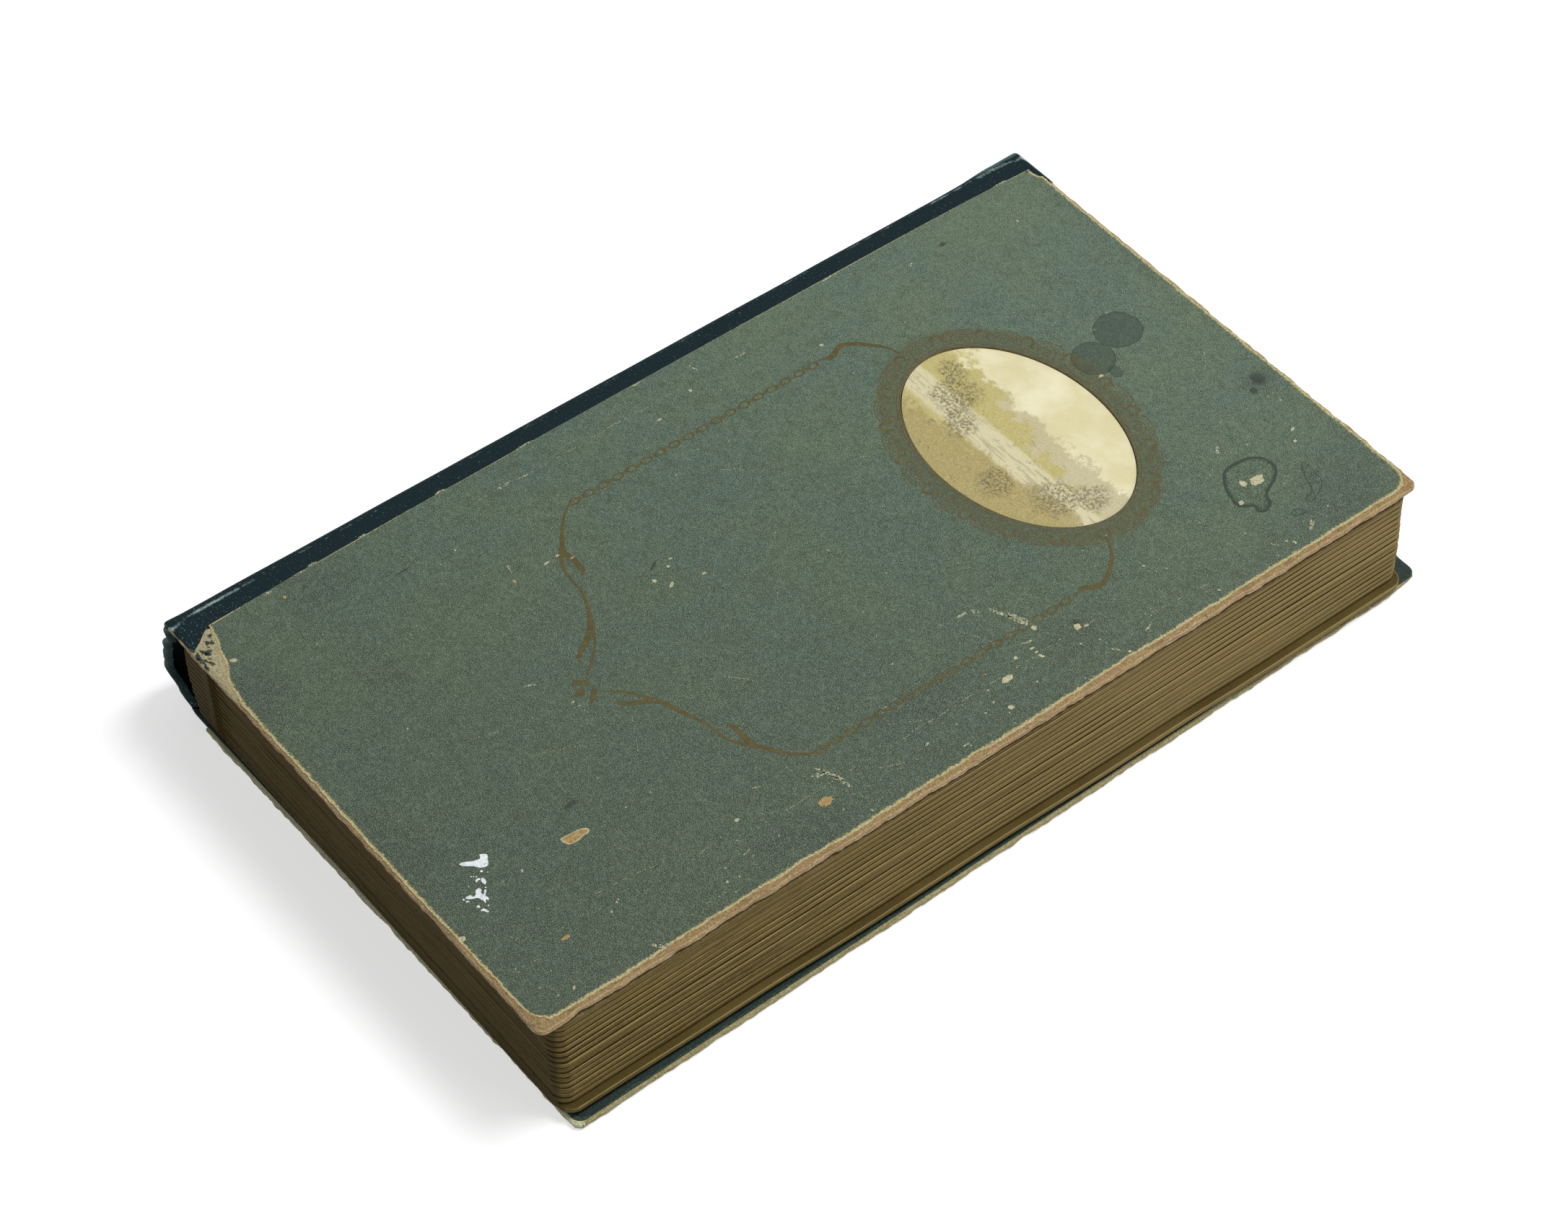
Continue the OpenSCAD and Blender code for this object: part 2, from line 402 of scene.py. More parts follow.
def addLamp(name, place, size, power):
    bpy.ops.object.light_add(type="AREA", location=place)
    lamp = bpy.context.object
    lamp.name = name
    lamp.rotation_euler = (-Vector(place)).to_track_quat("-Z", "Y").to_euler()
    lamp.data.size = size
    lamp.data.energy = power


addLamp("KeyLamp", light["keyPlace"], light["keySize"], light["keyPower"])
addLamp("FillLamp", light["fillPlace"], light["fillSize"], light["fillPower"])
world = bpy.data.worlds.new("Studio")
bpy.context.scene.world = world
world.use_nodes = True
# the sky is white to the camera and dimmer as a light
sky = world.node_tree.nodes["Background"]
sky.inputs["Color"].default_value = (1, 1, 1, 1)
rays = world.node_tree.nodes.new("ShaderNodeLightPath")
strength = world.node_tree.nodes.new("ShaderNodeMapRange")
strength.inputs["To Min"].default_value = light["sky"]
strength.inputs["To Max"].default_value = 1
seen = world.node_tree.nodes.new("ShaderNodeMath")
seen.operation = "MAXIMUM"
world.node_tree.links.new(rays.outputs["Is Camera Ray"], seen.inputs[0])
world.node_tree.links.new(rays.outputs["Is Transmission Ray"], seen.inputs[1])
world.node_tree.links.new(seen.outputs[0], strength.inputs["Value"])
world.node_tree.links.new(strength.outputs["Result"], sky.inputs["Strength"])
bpy.context.scene.view_settings.view_transform = "Standard"

floor = start(bpy.ops.mesh.primitive_plane_add, size=light["floorWide"], location=(0, 0, -light["floorDrop"]))
floor.name = "Floor"
floorFinish = Finish("PaleFloor")
floorTree = floorFinish.tree
floor.data.materials.append(floorFinish.close((0.9, 0.9, 0.9, 1), 0.6))
# the camera and reflections see most of the floor as plain white, and the rest keeps the shadow
floorEnd = floorTree.nodes["Material Output"].inputs["Surface"]
shaded = Wire(floorFinish, floorEnd.links[0].from_socket)
seenBy = floorFinish.add("ShaderNodeLightPath", {}, {}, "Is Camera Ray")
glow = (seenBy | seenBy.other("Is Glossy Ray") | seenBy.other("Is Transmission Ray")) * light["floorGlow"]
white = floorFinish.add("ShaderNodeEmission", {}, {"Color": (1, 1, 1, 1), "Strength": light["glowStrength"]})
floorMix = floorFinish.add("ShaderNodeMixShader", {}, {0: glow, 1: shaded, 2: white})
floorTree.links.new(floorMix.socket, floorEnd)
print("camera, lamps and floor made")


# finishes, with colours as seen on screen
paperLook = {
    "green": (88, 105, 83),
    "blue": (81, 103, 92),
    "deep": (66, 82, 62),
    "warm": (78, 88, 68),
    "pale": (140, 156, 134),
    "dark": (34, 46, 36),
    "stain": (48, 62, 52),
    "cream": (184, 180, 146),
    # the next two also paint the fall of the light: shade toward the tail and fore edge, light toward the
    # head and joint
    "dirtAndShade": (60, 73, 56),
    "paleAndLit": (114, 132, 108),
    "handled": (66, 72, 58),
    "cloud": (54, 62, 54),
    "olive": (62, 72, 48),
    "ground": (82, 82, 52),
    "spot": (44, 52, 46),
    "thin": (124, 128, 84),
    "fibreDark": (140, 124, 80),
    "fibreLight": (208, 196, 150),
    # place, half sizes and turn of each stain and spot
    "wetSpots": [(95.6, 359.2, 9.2, 9.6, 0), (101.4, 342, 8.6, 8.4, 0), (111.5, 344, 3.4, 2.4, 0)],
    "darkClouds": [(200, 246, 9, 13, 0), (191, 186, 8, 22, 0), (149, 382, 7, 6, 0), (19, 52, 8, 14, 10),
                   (47, 9, 14, 9, 0), (130, 7, 18, 9, 0), (206, 370, 14, 20, 20), (212, 118, 8, 18, 0),
                   (66, 47, 10, 7, 0)],
    "darkSpots": [(196, 251.6, 1.6, 1.3, 0), (19.7, 337, 1.1, 1.6, 0), (30.3, 79.5, 0.35, 3, 0),
                  (83, 151, 0.5, 3, 30), (147, 383, 3, 2.6, 0), (150.5, 377.5, 1.6, 1.4, 0),
                  (152, 64, 1.2, 2.4, 0)],
}


def coverPaperColour(f):
    # mottled, finely grained grey-green paper with its dirt, stains and scuffs, shared with the print on it
    look = paperLook
    across, along = f.part("X"), f.part("Y")
    clouds = f.grain(46, 3, 0.6)
    colour = f.mix(f.rise(clouds, 0.36, 0.64), look["green"], look["blue"])
    mottle = f.grain(5.5, 5, 0.7, shift=(60, 0, 0))
    colour = f.mix(f.rise(mottle, 0.46, 0.68) * 0.7, colour, look["deep"])
    colour = f.mix(f.rise(f.grain(13, 4, 0.65, shift=(0, 90, 0)), 0.5, 0.74) * 0.45, colour, look["warm"])
    # dirtier and with painted shade toward the fore edge and the tail, paler and with painted light the other
    # way
    dirtAndShade = f.rise(across * 0.5 - along * 0.3 + (clouds - 0.5) * 70, -85, 100)
    colour = f.mix(dirtAndShade * 0.8, colour, look["dirtAndShade"])
    paleAndLit = f.rise(across * 0.4 - along * 0.4 + (clouds - 0.5) * 80, -40, -170)
    colour = f.mix(paleAndLit * 0.3, colour, look["paleAndLit"])
    foreEdge = f.rise(across + (mottle - 0.5) * 40, 200, 226)
    tailEdge = f.rise(along + (mottle - 0.5) * 30, 12, -6)
    headEdge = f.rise(along + (mottle - 0.5) * 30, 380, 400)
    colour = f.mix((foreEdge | tailEdge | headEdge) * 0.4, colour, look["handled"])
    colour = f.mix(f.marks(look["darkClouds"], 0.5, 9, 0.6) * 0.42, colour, look["cloud"])
    colour = f.mix(f.rise(f.grain(4.5, 4, 0.7, shift=(0, 0, 55)), 0.54, 0.7) * 0.3, colour, look["olive"])
    # the leather grain, fine and coarse
    leather = f.grain(0.34, 1, 0.6)
    colour = f.mix(f.rise(leather, 0.5, 0.7) * 0.85, colour, look["pale"])
    colour = f.mix(f.rise(leather, 0.52, 0.29) * 0.9, colour, look["dark"])
    lumps = f.grain(1.5, 2, 0.6, shift=(0, 0, 9))
    colour = f.mix(f.rise(lumps, 0.5, 0.72) * 0.16, colour, look["pale"])
    colour = f.mix(f.rise(lumps, 0.5, 0.3) * 0.2, colour, look["dark"])
    # the printed ground of the oval frame
    ground = f.rise(f.ovalAway() + (f.grain(4, 2) - 0.5) * 0.04, 1.24, 1.17)
    colour = f.mix(ground * 0.42, colour, look["ground"])
    for spot in look["wetSpots"]:
        away = f.spotAway(*spot) + (f.grain(5, 3, 0.6) - 0.5) * 0.2
        inside = f.rise(away, 1.03, 0.98)
        colour = f.mix(inside * 0.5 | inside * f.rise(away, 0.9, 0.98) * 0.85, colour, look["stain"])
    colour = f.mix(f.marks(look["darkSpots"], 0.7, 1.6, 0.3) * 0.7, colour, look["spot"])
    # rubbed flecks, thick along the fore edge and in a few patches
    patches = f.rise(f.grain(19, 3, 0.6, shift=(0, 0, 33)) + f.rise(across, 120, 225) * 0.13, 0.53, 0.72)
    rubbed = f.rise(f.grain(1.1, 2, 0.6, shift=(7, 0, 0)) + patches * 0.06, 0.755, 0.8)
    colour = f.mix(rubbed * 0.5, colour, look["cream"])
    nicks = f.rise(f.grain(2.3, 3, 0.6, shift=(0, 17, 0)) + patches * 0.05, 0.735, 0.755)
    return f.mix(nicks * 0.85, colour, look["cream"])


def coverPaperFinish(name):
    # the paper, thin and fibrous where its edge is frayed
    f = Finish(name)
    colour = coverPaperColour(f)
    ragged = f.stored("fringe") + (f.grain(1, 4, 0.75) - 0.5) * 1.5
    fibre = f.grain(0.7, 3, 0.7, shift=(0, 0, 4))
    colour = f.mix(f.rise(ragged, 0.34, 0.44) * 0.7, colour, paperLook["thin"])
    colour = f.mix(f.rise(ragged, 0.48, 0.56), colour,
                   f.fibres(fibre, paperLook["fibreDark"], paperLook["fibreLight"]))
    return f.close(colour, 0.62, f.grain(0.4, 1, 0.6), 0.12, specular=0.3)


inkLook = {
    "gold": ((94, 82, 34), (84, 72, 32)),
    "lace": ((100, 86, 42), (88, 70, 36)),
    # painted shade along the edges of the inked lines
    "rim": (70, 66, 38),
    "goldCover": 0.94,
    "laceCover": 0.84,
}


def printFinish(name, inks, cover):
    # ink over the same paper, with painted shade along the rim of each line as if stamped in, worn through in
    # places
    f = Finish(name)
    worn = f.rise(f.grain(0.8, 3, 0.7), 0.7, 0.56)
    colour = f.fibres(f.grain(3, 3), *inks, 0.35, 0.65)
    # painted shade along the rim of each line
    colour = f.mix(f.rise(f.stored("rim"), 0.3, 0.9) * 0.6, colour, inkLook["rim"])
    colour = f.mix(worn * cover, coverPaperColour(f), colour)
    return f.close(colour, 0.5, f.grain(0.6, 3, 0.7), 0.14)


scuffLook = {
    "bare": ((164, 158, 122), (196, 192, 160)),
    "tan": ((150, 122, 74), (180, 154, 104)),
    "drop": ((196, 204, 214), (238, 240, 240)),
}


def scuffFinish(name):
    # bare paper where the surface is gone, tan deeper down, drops of white paint, and dried stains
    f = Finish(name)
    tone = f.stored("tone")
    paper = coverPaperColour(f)
    fibre = f.grain(1.2, 3, 0.7)
    colour = f.fibres(fibre, *scuffLook["bare"])
    colour = f.mix(f.rise(tone, 0.3, 0.7), colour, f.fibres(fibre, *scuffLook["tan"]))
    colour = f.mix(f.rise(tone, 1.3, 1.7), colour, f.fibres(fibre, *scuffLook["drop"], 0.3, 0.6))
    gone = f.rise(f.grain(0.9, 3, 0.7, shift=(3, 0, 0)) + f.stored("ragged") * 0.16, 0.62, 0.66)
    blotchy = f.stored("stain") + (f.grain(2.6, 3, 0.65, shift=(0, 0, 21)) - 0.5) * 0.9
    stained = f.mix(f.rise(blotchy, 0.2, 0.8) * 0.8 + 0.08, paper, paperLook["stain"])
    colour = f.mix(f.rise(tone, -0.3, -0.7), f.mix(gone, colour, paper), stained)
    return f.close(colour, 0.7, f.grain(0.5, 2, 0.65), 0.13, specular=0.28)


pictureLook = {
    "sky": ((232, 226, 190), (214, 204, 158)),
    "farHills": (176, 166, 128),
    "nearHills": (178, 166, 78),
    "lake": (214, 206, 170),
    "ripples": (150, 140, 104),
    "shore": (158, 142, 84),
    "wood": (98, 88, 48),
    "shade": (92, 84, 74),
    "washed": (236, 230, 200),
    # middle and radius of each clump of trees, from the middle of the picture
    "woods": ((-30, -4, 12), (-18, -12, 8), (31, -10, 11), (40, 0, 8), (12, -22, 9), (-40, 4, 7)),
}


def pictureFinish(name):
    # a washed-out landscape: pale sky, far hills, a lake and a wooded near shore
    look = pictureLook
    f = Finish(name)
    spot = f.spotPlace(oval["u"], oval["v"], oval["turn"])
    across, rising = f.part("X", spot), f.part("Y", spot)
    rough = f.grain(9, 5, 0.7)
    small = f.grain(2.2, 4, 0.7)
    colour = f.fibres(f.grain(22, 3), *look["sky"], 0.35, 0.65)
    farHills = f.rise(rising + (rough - 0.5) * 26, 12, 9)
    colour = f.mix(farHills * 0.75, colour, look["farHills"])
    nearHills = f.rise(rising + across * 0.22 + (rough - 0.5) * 40, 6, 2)
    colour = f.mix(nearHills * 0.7, colour, look["nearHills"])
    banks = rising + (small - 0.5) * 3
    lake = f.rise(banks, -3, -5) * f.rise(banks, -17, -14)
    colour = f.mix(lake * 0.8, colour, look["lake"])
    ripples = f.rise(f.grain(1.4, 2, 0.6, (0.12, 1, 1)), 0.54, 0.62)
    colour = f.mix(lake * ripples * 0.5, colour, look["ripples"])
    shore = f.rise(rising - across * 0.12 + (rough - 0.5) * 22, -14, -17)
    colour = f.mix(shore * 0.85, colour, look["shore"])
    for u, v, radius in look["woods"]:
        away = f.add("ShaderNodeVectorMath", {"operation": "DISTANCE"}, {0: spot, 1: (u, v, topZ)}, "Value")
        wood = f.rise(away + (small - 0.5) * 9 + (rough - 0.5) * 8, radius, radius * 0.55)
        colour = f.mix(wood * f.rise(f.grain(1.2, 3, 0.7), 0.38, 0.6) * 0.85, colour, look["wood"])
    shade = f.rise(f.grain(3.2, 4, 0.75, (0.6, 1.3, 1), (9, 3, 0)), 0.58, 0.68)
    colour = f.mix(shade * f.rise(rising, 12, -4) * 0.6, colour, look["shade"])
    colour = f.mix(f.rise(f.grain(0.5, 2, 0.7), 0.4, 0.75) * 0.35, colour, look["washed"])
    return f.close(colour, 0.5, f.grain(0.6, 2), 0.03)


greyboardLook = {
    "layer": (104, 84, 54),
    "flush": (166, 128, 96),
    # pale tail edge colour, with painted light against the shade there
    "paleTailLit": ((176, 182, 146), (238, 238, 202)),
    "glue": ((140, 136, 104), (196, 188, 150)),
    "remnant": (62, 74, 62),
    # foot is the height of the lower arris, and tail where the pale tail edge ends, which is painted lighter
    # for the shade it lies in
    # the side and arris colours hold painted light: they are lighter than the board is, for edges that lie in
    # shade
    "front": {"top": ((118, 96, 62), (184, 160, 116)), "side": ((146, 122, 84), (212, 188, 144)),
              "arris": (232, 212, 192), "foot": 52.25, "tail": -9},
    "back": {"top": ((124, 110, 74), (200, 186, 138)), "side": ((118, 112, 76), (196, 188, 142)),
             "arris": (176, 172, 130), "foot": 0.4, "tail": 12},
}


def greyboardFinish(name, own):
    # layered board, bare along its worn edges, with its lower arris rubbed pale; its sides and that arris are
    # also painted lighter, as painted light on edges that lie in shade
    look, foot = greyboardLook, own["foot"]
    f = Finish(name)
    across, along, height = f.part("X"), f.part("Y"), f.part("Z")
    fibre = f.grain(0.7, 4, 0.75, (1, 1, 2.4))
    layers = f.grain(0.5, 2, 0.6, (0.06, 0.06, 1))
    colour = f.fibres(fibre, *own["top"], 0.3, 0.72)
    # painted light: the sides lighter than the top
    colour = f.mix(f.rise(height, foot + 2.3, foot + 2) * 0.75, colour, f.fibres(fibre, *own["side"]))
    colour = f.mix(f.rise(layers, 0.5, 0.7) * 0.4, colour, look["layer"])
    colour = f.mix(f.rise(f.grain(7, 3), 0.5, 0.72) * 0.28, colour, look["flush"])
    uneven = height + (f.grain(2.5, 3, 0.7) - 0.5) * 0.9
    # the lower arris, rubbed pale and painted lighter still
    colour = f.mix(f.rise(uneven, foot + 0.62, foot + 0.35) * 0.85, colour, own["arris"])
    # the pale tail edge, with painted light where it lies in shade
    paleTailLit = f.rise(along, own["tail"], own["tail"] - 2) * f.rise(uneven, foot + 0.75, foot + 1.1)
    colour = f.mix(paleTailLit * 0.8, colour, f.fibres(fibre, *look["paleTailLit"]))
    # cream where the covering and its glue came off near the joint
    nearJoint = f.rise(across * 0.5 + along + (f.grain(4, 3) - 0.5) * 6, 27, 20)
    colour = f.mix(nearJoint * f.rise(height, foot + 1.6, foot + 1.9) * 0.85, colour,
                   f.fibres(fibre, *look["glue"]))
    remnants = f.rise(f.grain(2.6, 3, 0.6, (1, 1, 0.8), (0, 0, 70)), 0.69, 0.73)
    colour = f.mix(remnants * 0.8, colour, look["remnant"])
    return f.close(colour, 0.9, fibre, 0.35, specular=0.15)


clothLook = {
    "petrol": ((7, 26, 32), (26, 48, 53)),
    "tealTail": ((24, 46, 46), (52, 80, 78)),
    "tealHead": ((56, 88, 86), (94, 128, 124)),
    "rubbed": (112, 134, 132),
    "wornThrough": (184, 194, 188),
    "speck": (140, 158, 156),
    # painted shade: the inner face of the cloth near black
    "inside": ((4, 8, 10), (14, 20, 22)),
}


def clothFinish(name):
    # dark petrol bookcloth, paler on the bulge toward the head, rubbed along the joint and dusted with
    # specks, its inner face painted near black as the shade of the hollow
    look = clothLook
    f = Finish(name, True)
    weave = f.rise(f.grain(0.45, 2, 0.6), 0.3, 0.72)
    along = f.part("Y")
    colour = f.mix(weave, *look["petrol"])
    head = f.rise(along + (f.grain(30, 3) - 0.5) * 120, 180, 385)
    teal = f.mix(weave, *(f.mix(head, *pair) for pair in zip(look["tealTail"], look["tealHead"])))
    bulge = f.rise(f.stored("bulge") + (f.grain(8, 3) - 0.5) * 0.8, 0.3, 0.8)
    colour = f.mix(bulge * 0.85, colour, teal)
    specks = f.rise(f.grain(0.8, 2, 0.7, shift=(5, 0, 0)) + f.rise(along, 60, 5) * 0.035, 0.665, 0.71)
    broken = f.rise(f.grain(7, 2, 0.6, shift=(0, 4, 0)), 0.3, 0.62) * 0.75 + 0.5
    rubbed = f.stored("rubbed") * broken + (f.grain(1.1, 4, 0.8) - 0.5) * 1.9
    colour = f.mix(f.rise(rubbed, 0.6, 1.05) * 0.75, colour, look["rubbed"])
    colour = f.mix(f.rise(rubbed, 1.05, 1.35) * 0.75, colour, look["wornThrough"])
    colour = f.mix(specks * 0.7, colour, look["speck"])
    # painted shade on the inner face, for the dark hollow under the loose cloth
    colour = f.mix(f.rise(f.stored("inner"), 0.4, 0.9), colour, f.mix(weave, *look["inside"]))
    return f.close(colour, 0.6, weave, 0.14, specular=0.14)


leafLook = {
    "card": ((82, 66, 26), (114, 97, 49)),
    "fibre": (140, 122, 70),
    # the upper arris is worn pale and painted lighter as a highlight; the lower one is painted shade
    "upperArris": (172, 156, 106),
    "lowerArris": (11, 8, 2),
    "headEnd": (150, 132, 86),
    "page": (72, 60, 28),
    "lowLeaves": (48, 38, 14),
    # painted shade at the tail end of the leaves
    "tailShade": (24, 18, 4),
}


def leafFinish(name):
    # olive card; its cut edges have a worn upper arris with a painted highlight, painted shade along the
    # lower arris, and painted shade at the tail
    look = leafLook
    f = Finish(name)
    fibre = f.grain(0.5, 3, 0.65, (1, 1, 0.25))
    colour = f.fibres(f.grain(1.7, 3, 0.6, (0.03, 0.03, 1)), *look["card"], 0.35, 0.68)
    colour = f.mix(f.rise(fibre, 0.4, 0.75) * 0.4, colour, look["fibre"])
    facing = f.part("Z", f.add("ShaderNodeTexCoord", {}, {}, "Normal"))
    page = f.rise(f.add("ShaderNodeMath", {"operation": "ABSOLUTE"}, {0: facing}), 0.95, 0.995)
    arrisWearLightShade = f.stored("arrisWearLightShade") * (1 - page)
    streak = f.grain(3, 3, 0.6, (0.3, 0.3, 1))
    # wear and painted highlight on the upper arris
    colour = f.mix(f.rise(arrisWearLightShade + (streak - 0.5) * 1.1, 0.6, 1.05) * 0.7, colour, look["upperArris"])
    along, height = f.part("Y"), f.part("Z")
    colour = f.mix(f.rise(along, 20, 330) * 0.5 * (1 - page), colour, look["headEnd"])
    colour = f.mix(page * 0.45, colour, look["page"])
    colour = f.mix(f.rise(height, 14, 4) * 0.2, colour, look["lowLeaves"])
    # painted shade at the tail, where the leaf edges lie in shadow
    colour = f.mix(f.rise(along, 8.2, 6.6) * 0.54 * (1 - page), colour, look["tailShade"])
    # painted shade along the lower arris, darkening the gaps between the leaves
    colour = f.mix(f.rise(arrisWearLightShade, -0.05, -0.45), colour, look["lowerArris"])
    return f.close(colour, 0.85, fibre, 0.12, specular=0.2)


def liningFinish(name, dark, light):
    # dark paper grained across
    f = Finish(name)
    grain = f.grain(0.9, 3, 0.6, (1, 2.2, 1))
    return f.close(f.fibres(grain, dark, light, 0.35, 0.7), 0.5, grain, 0.25)


def plainFinish(name, dark, light, size, depth, rough=0.85, onCloth=False):
    f = Finish(name, onCloth)
    grain = f.grain(size, 3, 0.6)
    return f.close(f.fibres(grain, dark, light), rough, grain, depth, specular=0.2)


coverPaper = coverPaperFinish("CoverPaper")
goldInk = printFinish("GoldInk", inkLook["gold"], inkLook["goldCover"])
laceInk = printFinish("LaceInk", inkLook["lace"], inkLook["laceCover"])
scuffed = scuffFinish("ScuffedPaper")
picturePrint = pictureFinish("PicturePrint")
greyboard = greyboardFinish("Greyboard", greyboardLook["front"])
backGreyboard = greyboardFinish("BackGreyboard", greyboardLook["back"])
bookcloth = clothFinish("Bookcloth")
lining = liningFinish("DarkLining", (18, 34, 33), (44, 62, 54))
leafCard = leafFinish("LeafCard")
flyPaper = plainFinish("FlyleafPaper", (96, 82, 52), (132, 116, 78), 0.9, 0.06)
turnInPaper = plainFinish("TurnInPaper", (36, 52, 46), (66, 84, 72), 0.9, 0.06)
stubCard = plainFinish("StubCard", (48, 38, 16), (84, 70, 36), 0.6, 0.1)
linenCloth = plainFinish("Linen", (74, 62, 34), (118, 100, 60), 0.4, 0.12, 0.9, True)
mullCloth = plainFinish("Mull", (150, 132, 92), (196, 180, 136), 0.5, 0.2)
tapeCloth = plainFinish("TapeCloth", (170, 160, 130), (214, 206, 180), 0.4, 0.12)
spineCard = plainFinish("SpineCard", (120, 96, 62), (160, 136, 96), 0.8, 0.1, 0.9, True)
clothRemains = plainFinish("ClothRemains", (36, 46, 48), (80, 86, 74), 1.6, 0.1)
threadWhite = plainFinish("LinenThread", (196, 188, 160), (226, 220, 200), 0.3, 0.05)
print("finishes made")


# boards, papers and pastedowns
def edgeOf(u, v, low, high, corner):
    # distance inside a sheet's edge, and the way out, for a sheet with two round fore corners
    inU, inV = high[0] - corner - u, max(low[1] + corner - v, v - high[1] + corner)
    if inU < 0 and inV > 0:
        way = Vector((-inU, -inV if v < low[1] + corner else inV, 0))
        return corner - way.length, way.normalized()
    sides = [(u - low[0], Vector((-1, 0, 0))), (high[0] - u, Vector((1, 0, 0))),
             (v - low[1], Vector((0, -1, 0))), (high[1] - v, Vector((0, 1, 0)))]
    return min(sides, key=lambda side: side[0])


def outlineSheet(name, low, high, z, corner, pitch, rings, hole=None):
    # a flat sheet with a fine outline and rings of faces inside it, and a hole for the oval
    piece = startGrid(name, low, high, z, 1, 1)
    midU = (low[0] + high[0]) / 2
    cuts = 20
    editMode(True)
    pick("VERT", lambda p: p.co.x > midU)
    bpy.ops.mesh.bevel(offset=corner, offset_type="OFFSET", segments=8, affect="VERTICES")
    bpy.ops.mesh.select_all(action="SELECT")
    bpy.ops.mesh.delete(type="ONLY_FACE")
    for length in (high[0] - low[0], high[1] - low[1]):
        pick("EDGE", lambda e: abs(e.calc_length() - length) < corner * 2.2)
        bpy.ops.mesh.subdivide(number_cuts=cuts - 1)
        bpy.ops.mesh.subdivide(number_cuts=round(length / pitch / cuts) - 1)
    bpy.ops.mesh.select_all(action="SELECT")
    bpy.ops.mesh.edge_face_add()
    for ring in rings:
        bpy.ops.mesh.inset(thickness=ring, use_even_offset=False)
    if hole:
        inner = {p.index for p in bmesh.from_edit_mesh(piece.data).verts if p.select}
        bpy.ops.mesh.delete(type="ONLY_FACE")
        centre = (oval["u"], oval["v"], z)
        bpy.ops.mesh.primitive_circle_add(vertices=180, radius=0.5, location=centre)
        bpy.ops.transform.resize(value=(*hole, 1), center_override=centre)
        bpy.ops.transform.rotate(value=-math.radians(oval["turn"]), orient_axis="Z", center_override=centre)
        # the circle's edges have no face yet, and the sheet's inner edges one
        pick("EDGE", lambda e: not e.link_faces or len(e.link_faces) == 1 and inner.issuperset(
            p.index for p in e.verts))
        bpy.ops.mesh.fill()
    faceOutwards()
    editMode(False)
    return piece


def biteEdge(piece, low, high, corner, bite, reach):
    # pulls the outline in by bite(u, v, z, way) millimetres, less and less up to reach inside
    def move(p):
        inside, way = edgeOf(p.x, p.y, low, high, corner)
        if inside > reach:
            return p
        return p - way * bite(p.x, p.y, p.z, way) * (1 - max(0, inside) / reach)
    mould(piece, move)


boards = {
    "low": (album["jointGap"], 0),
    "high": (foreU, tall),
    "corner": 3.4,
    "pitch": 1.1,
    "rings": (0.7, 1.2),
    "layers": 5,
    "frontThick": 2.4,
    "frontUnder": 2.6,
    "backFoot": 0.4,
    "ovalPlay": 0.2,
    "worn": 0.5,
    "wornFine": 0.3,
    "wornAll": 0.2,
    "frayed": 0.35,
    # how much of the head corner is gone, and how far along the edges that reaches
    "frontCornerGone": 0.3,
    "backCornerGone": 1.9,
    "cornerReach": 20,
    # the upper arris is rubbed down by drop over a width of eased
    "drop": 0.3,
    "eased": 1.3,
    "biteReach": 3,
}


def boardBite(u, v, z, way, turned):
    if way.x < -0.5:
        return 0
    shift = 50 if turned else 0
    deep = boards["wornAll"] + boards["worn"] * wobble(u + shift, v, 0, 14)
    deep += boards["wornFine"] * wobble(u + shift, v, 3, 3.5)
    corner = math.hypot(foreU - u, tall - v) / boards["cornerReach"]
    gone = boards["backCornerGone"] if turned else boards["frontCornerGone"]
    deep += gone * max(0, 1 - corner) ** 2
    return max(-0.2, deep + boards["frayed"] * wobble(u * 0.25, v * 0.25, z * 3, 1.2))


def makeBoard(name, z, thick, turned=False, hole=None):
    low, high, corner = boards["low"], boards["high"], boards["corner"]
    piece = outlineSheet(name, low, high, z, corner, boards["pitch"], boards["rings"], hole)
    thicken(piece, thick / boards["layers"], boards["layers"])
    top = z + thick

    def ease(p):
        inside, way = edgeOf(p.x, p.y, low, high, corner)
        drop = boards["drop"] * max(0, 1 - inside / boards["eased"]) ** 2
        return p - Vector((0, 0, drop)) if p.z > top - 0.01 and way.x > -0.5 else p
    mould(piece, ease)

    def bite(u, v, h, way):
        rounded = 0.5 if top - h < 0.35 else 0.3 if h - z < 0.1 else 0.08 if top - h < 0.7 else 0
        return boardBite(u, v, h, way, turned) + rounded * (way.x > -0.5)
    biteEdge(piece, low, high, corner, bite, boards["biteReach"])
    return piece


ovalHole = (oval["wide"] + boards["ovalPlay"], oval["high"] + boards["ovalPlay"])
board = makeBoard("FrontBoard", topZ - boards["frontUnder"], boards["frontThick"], False, ovalHole)
done(board, greyboard, "front_cover", ("front_board",))

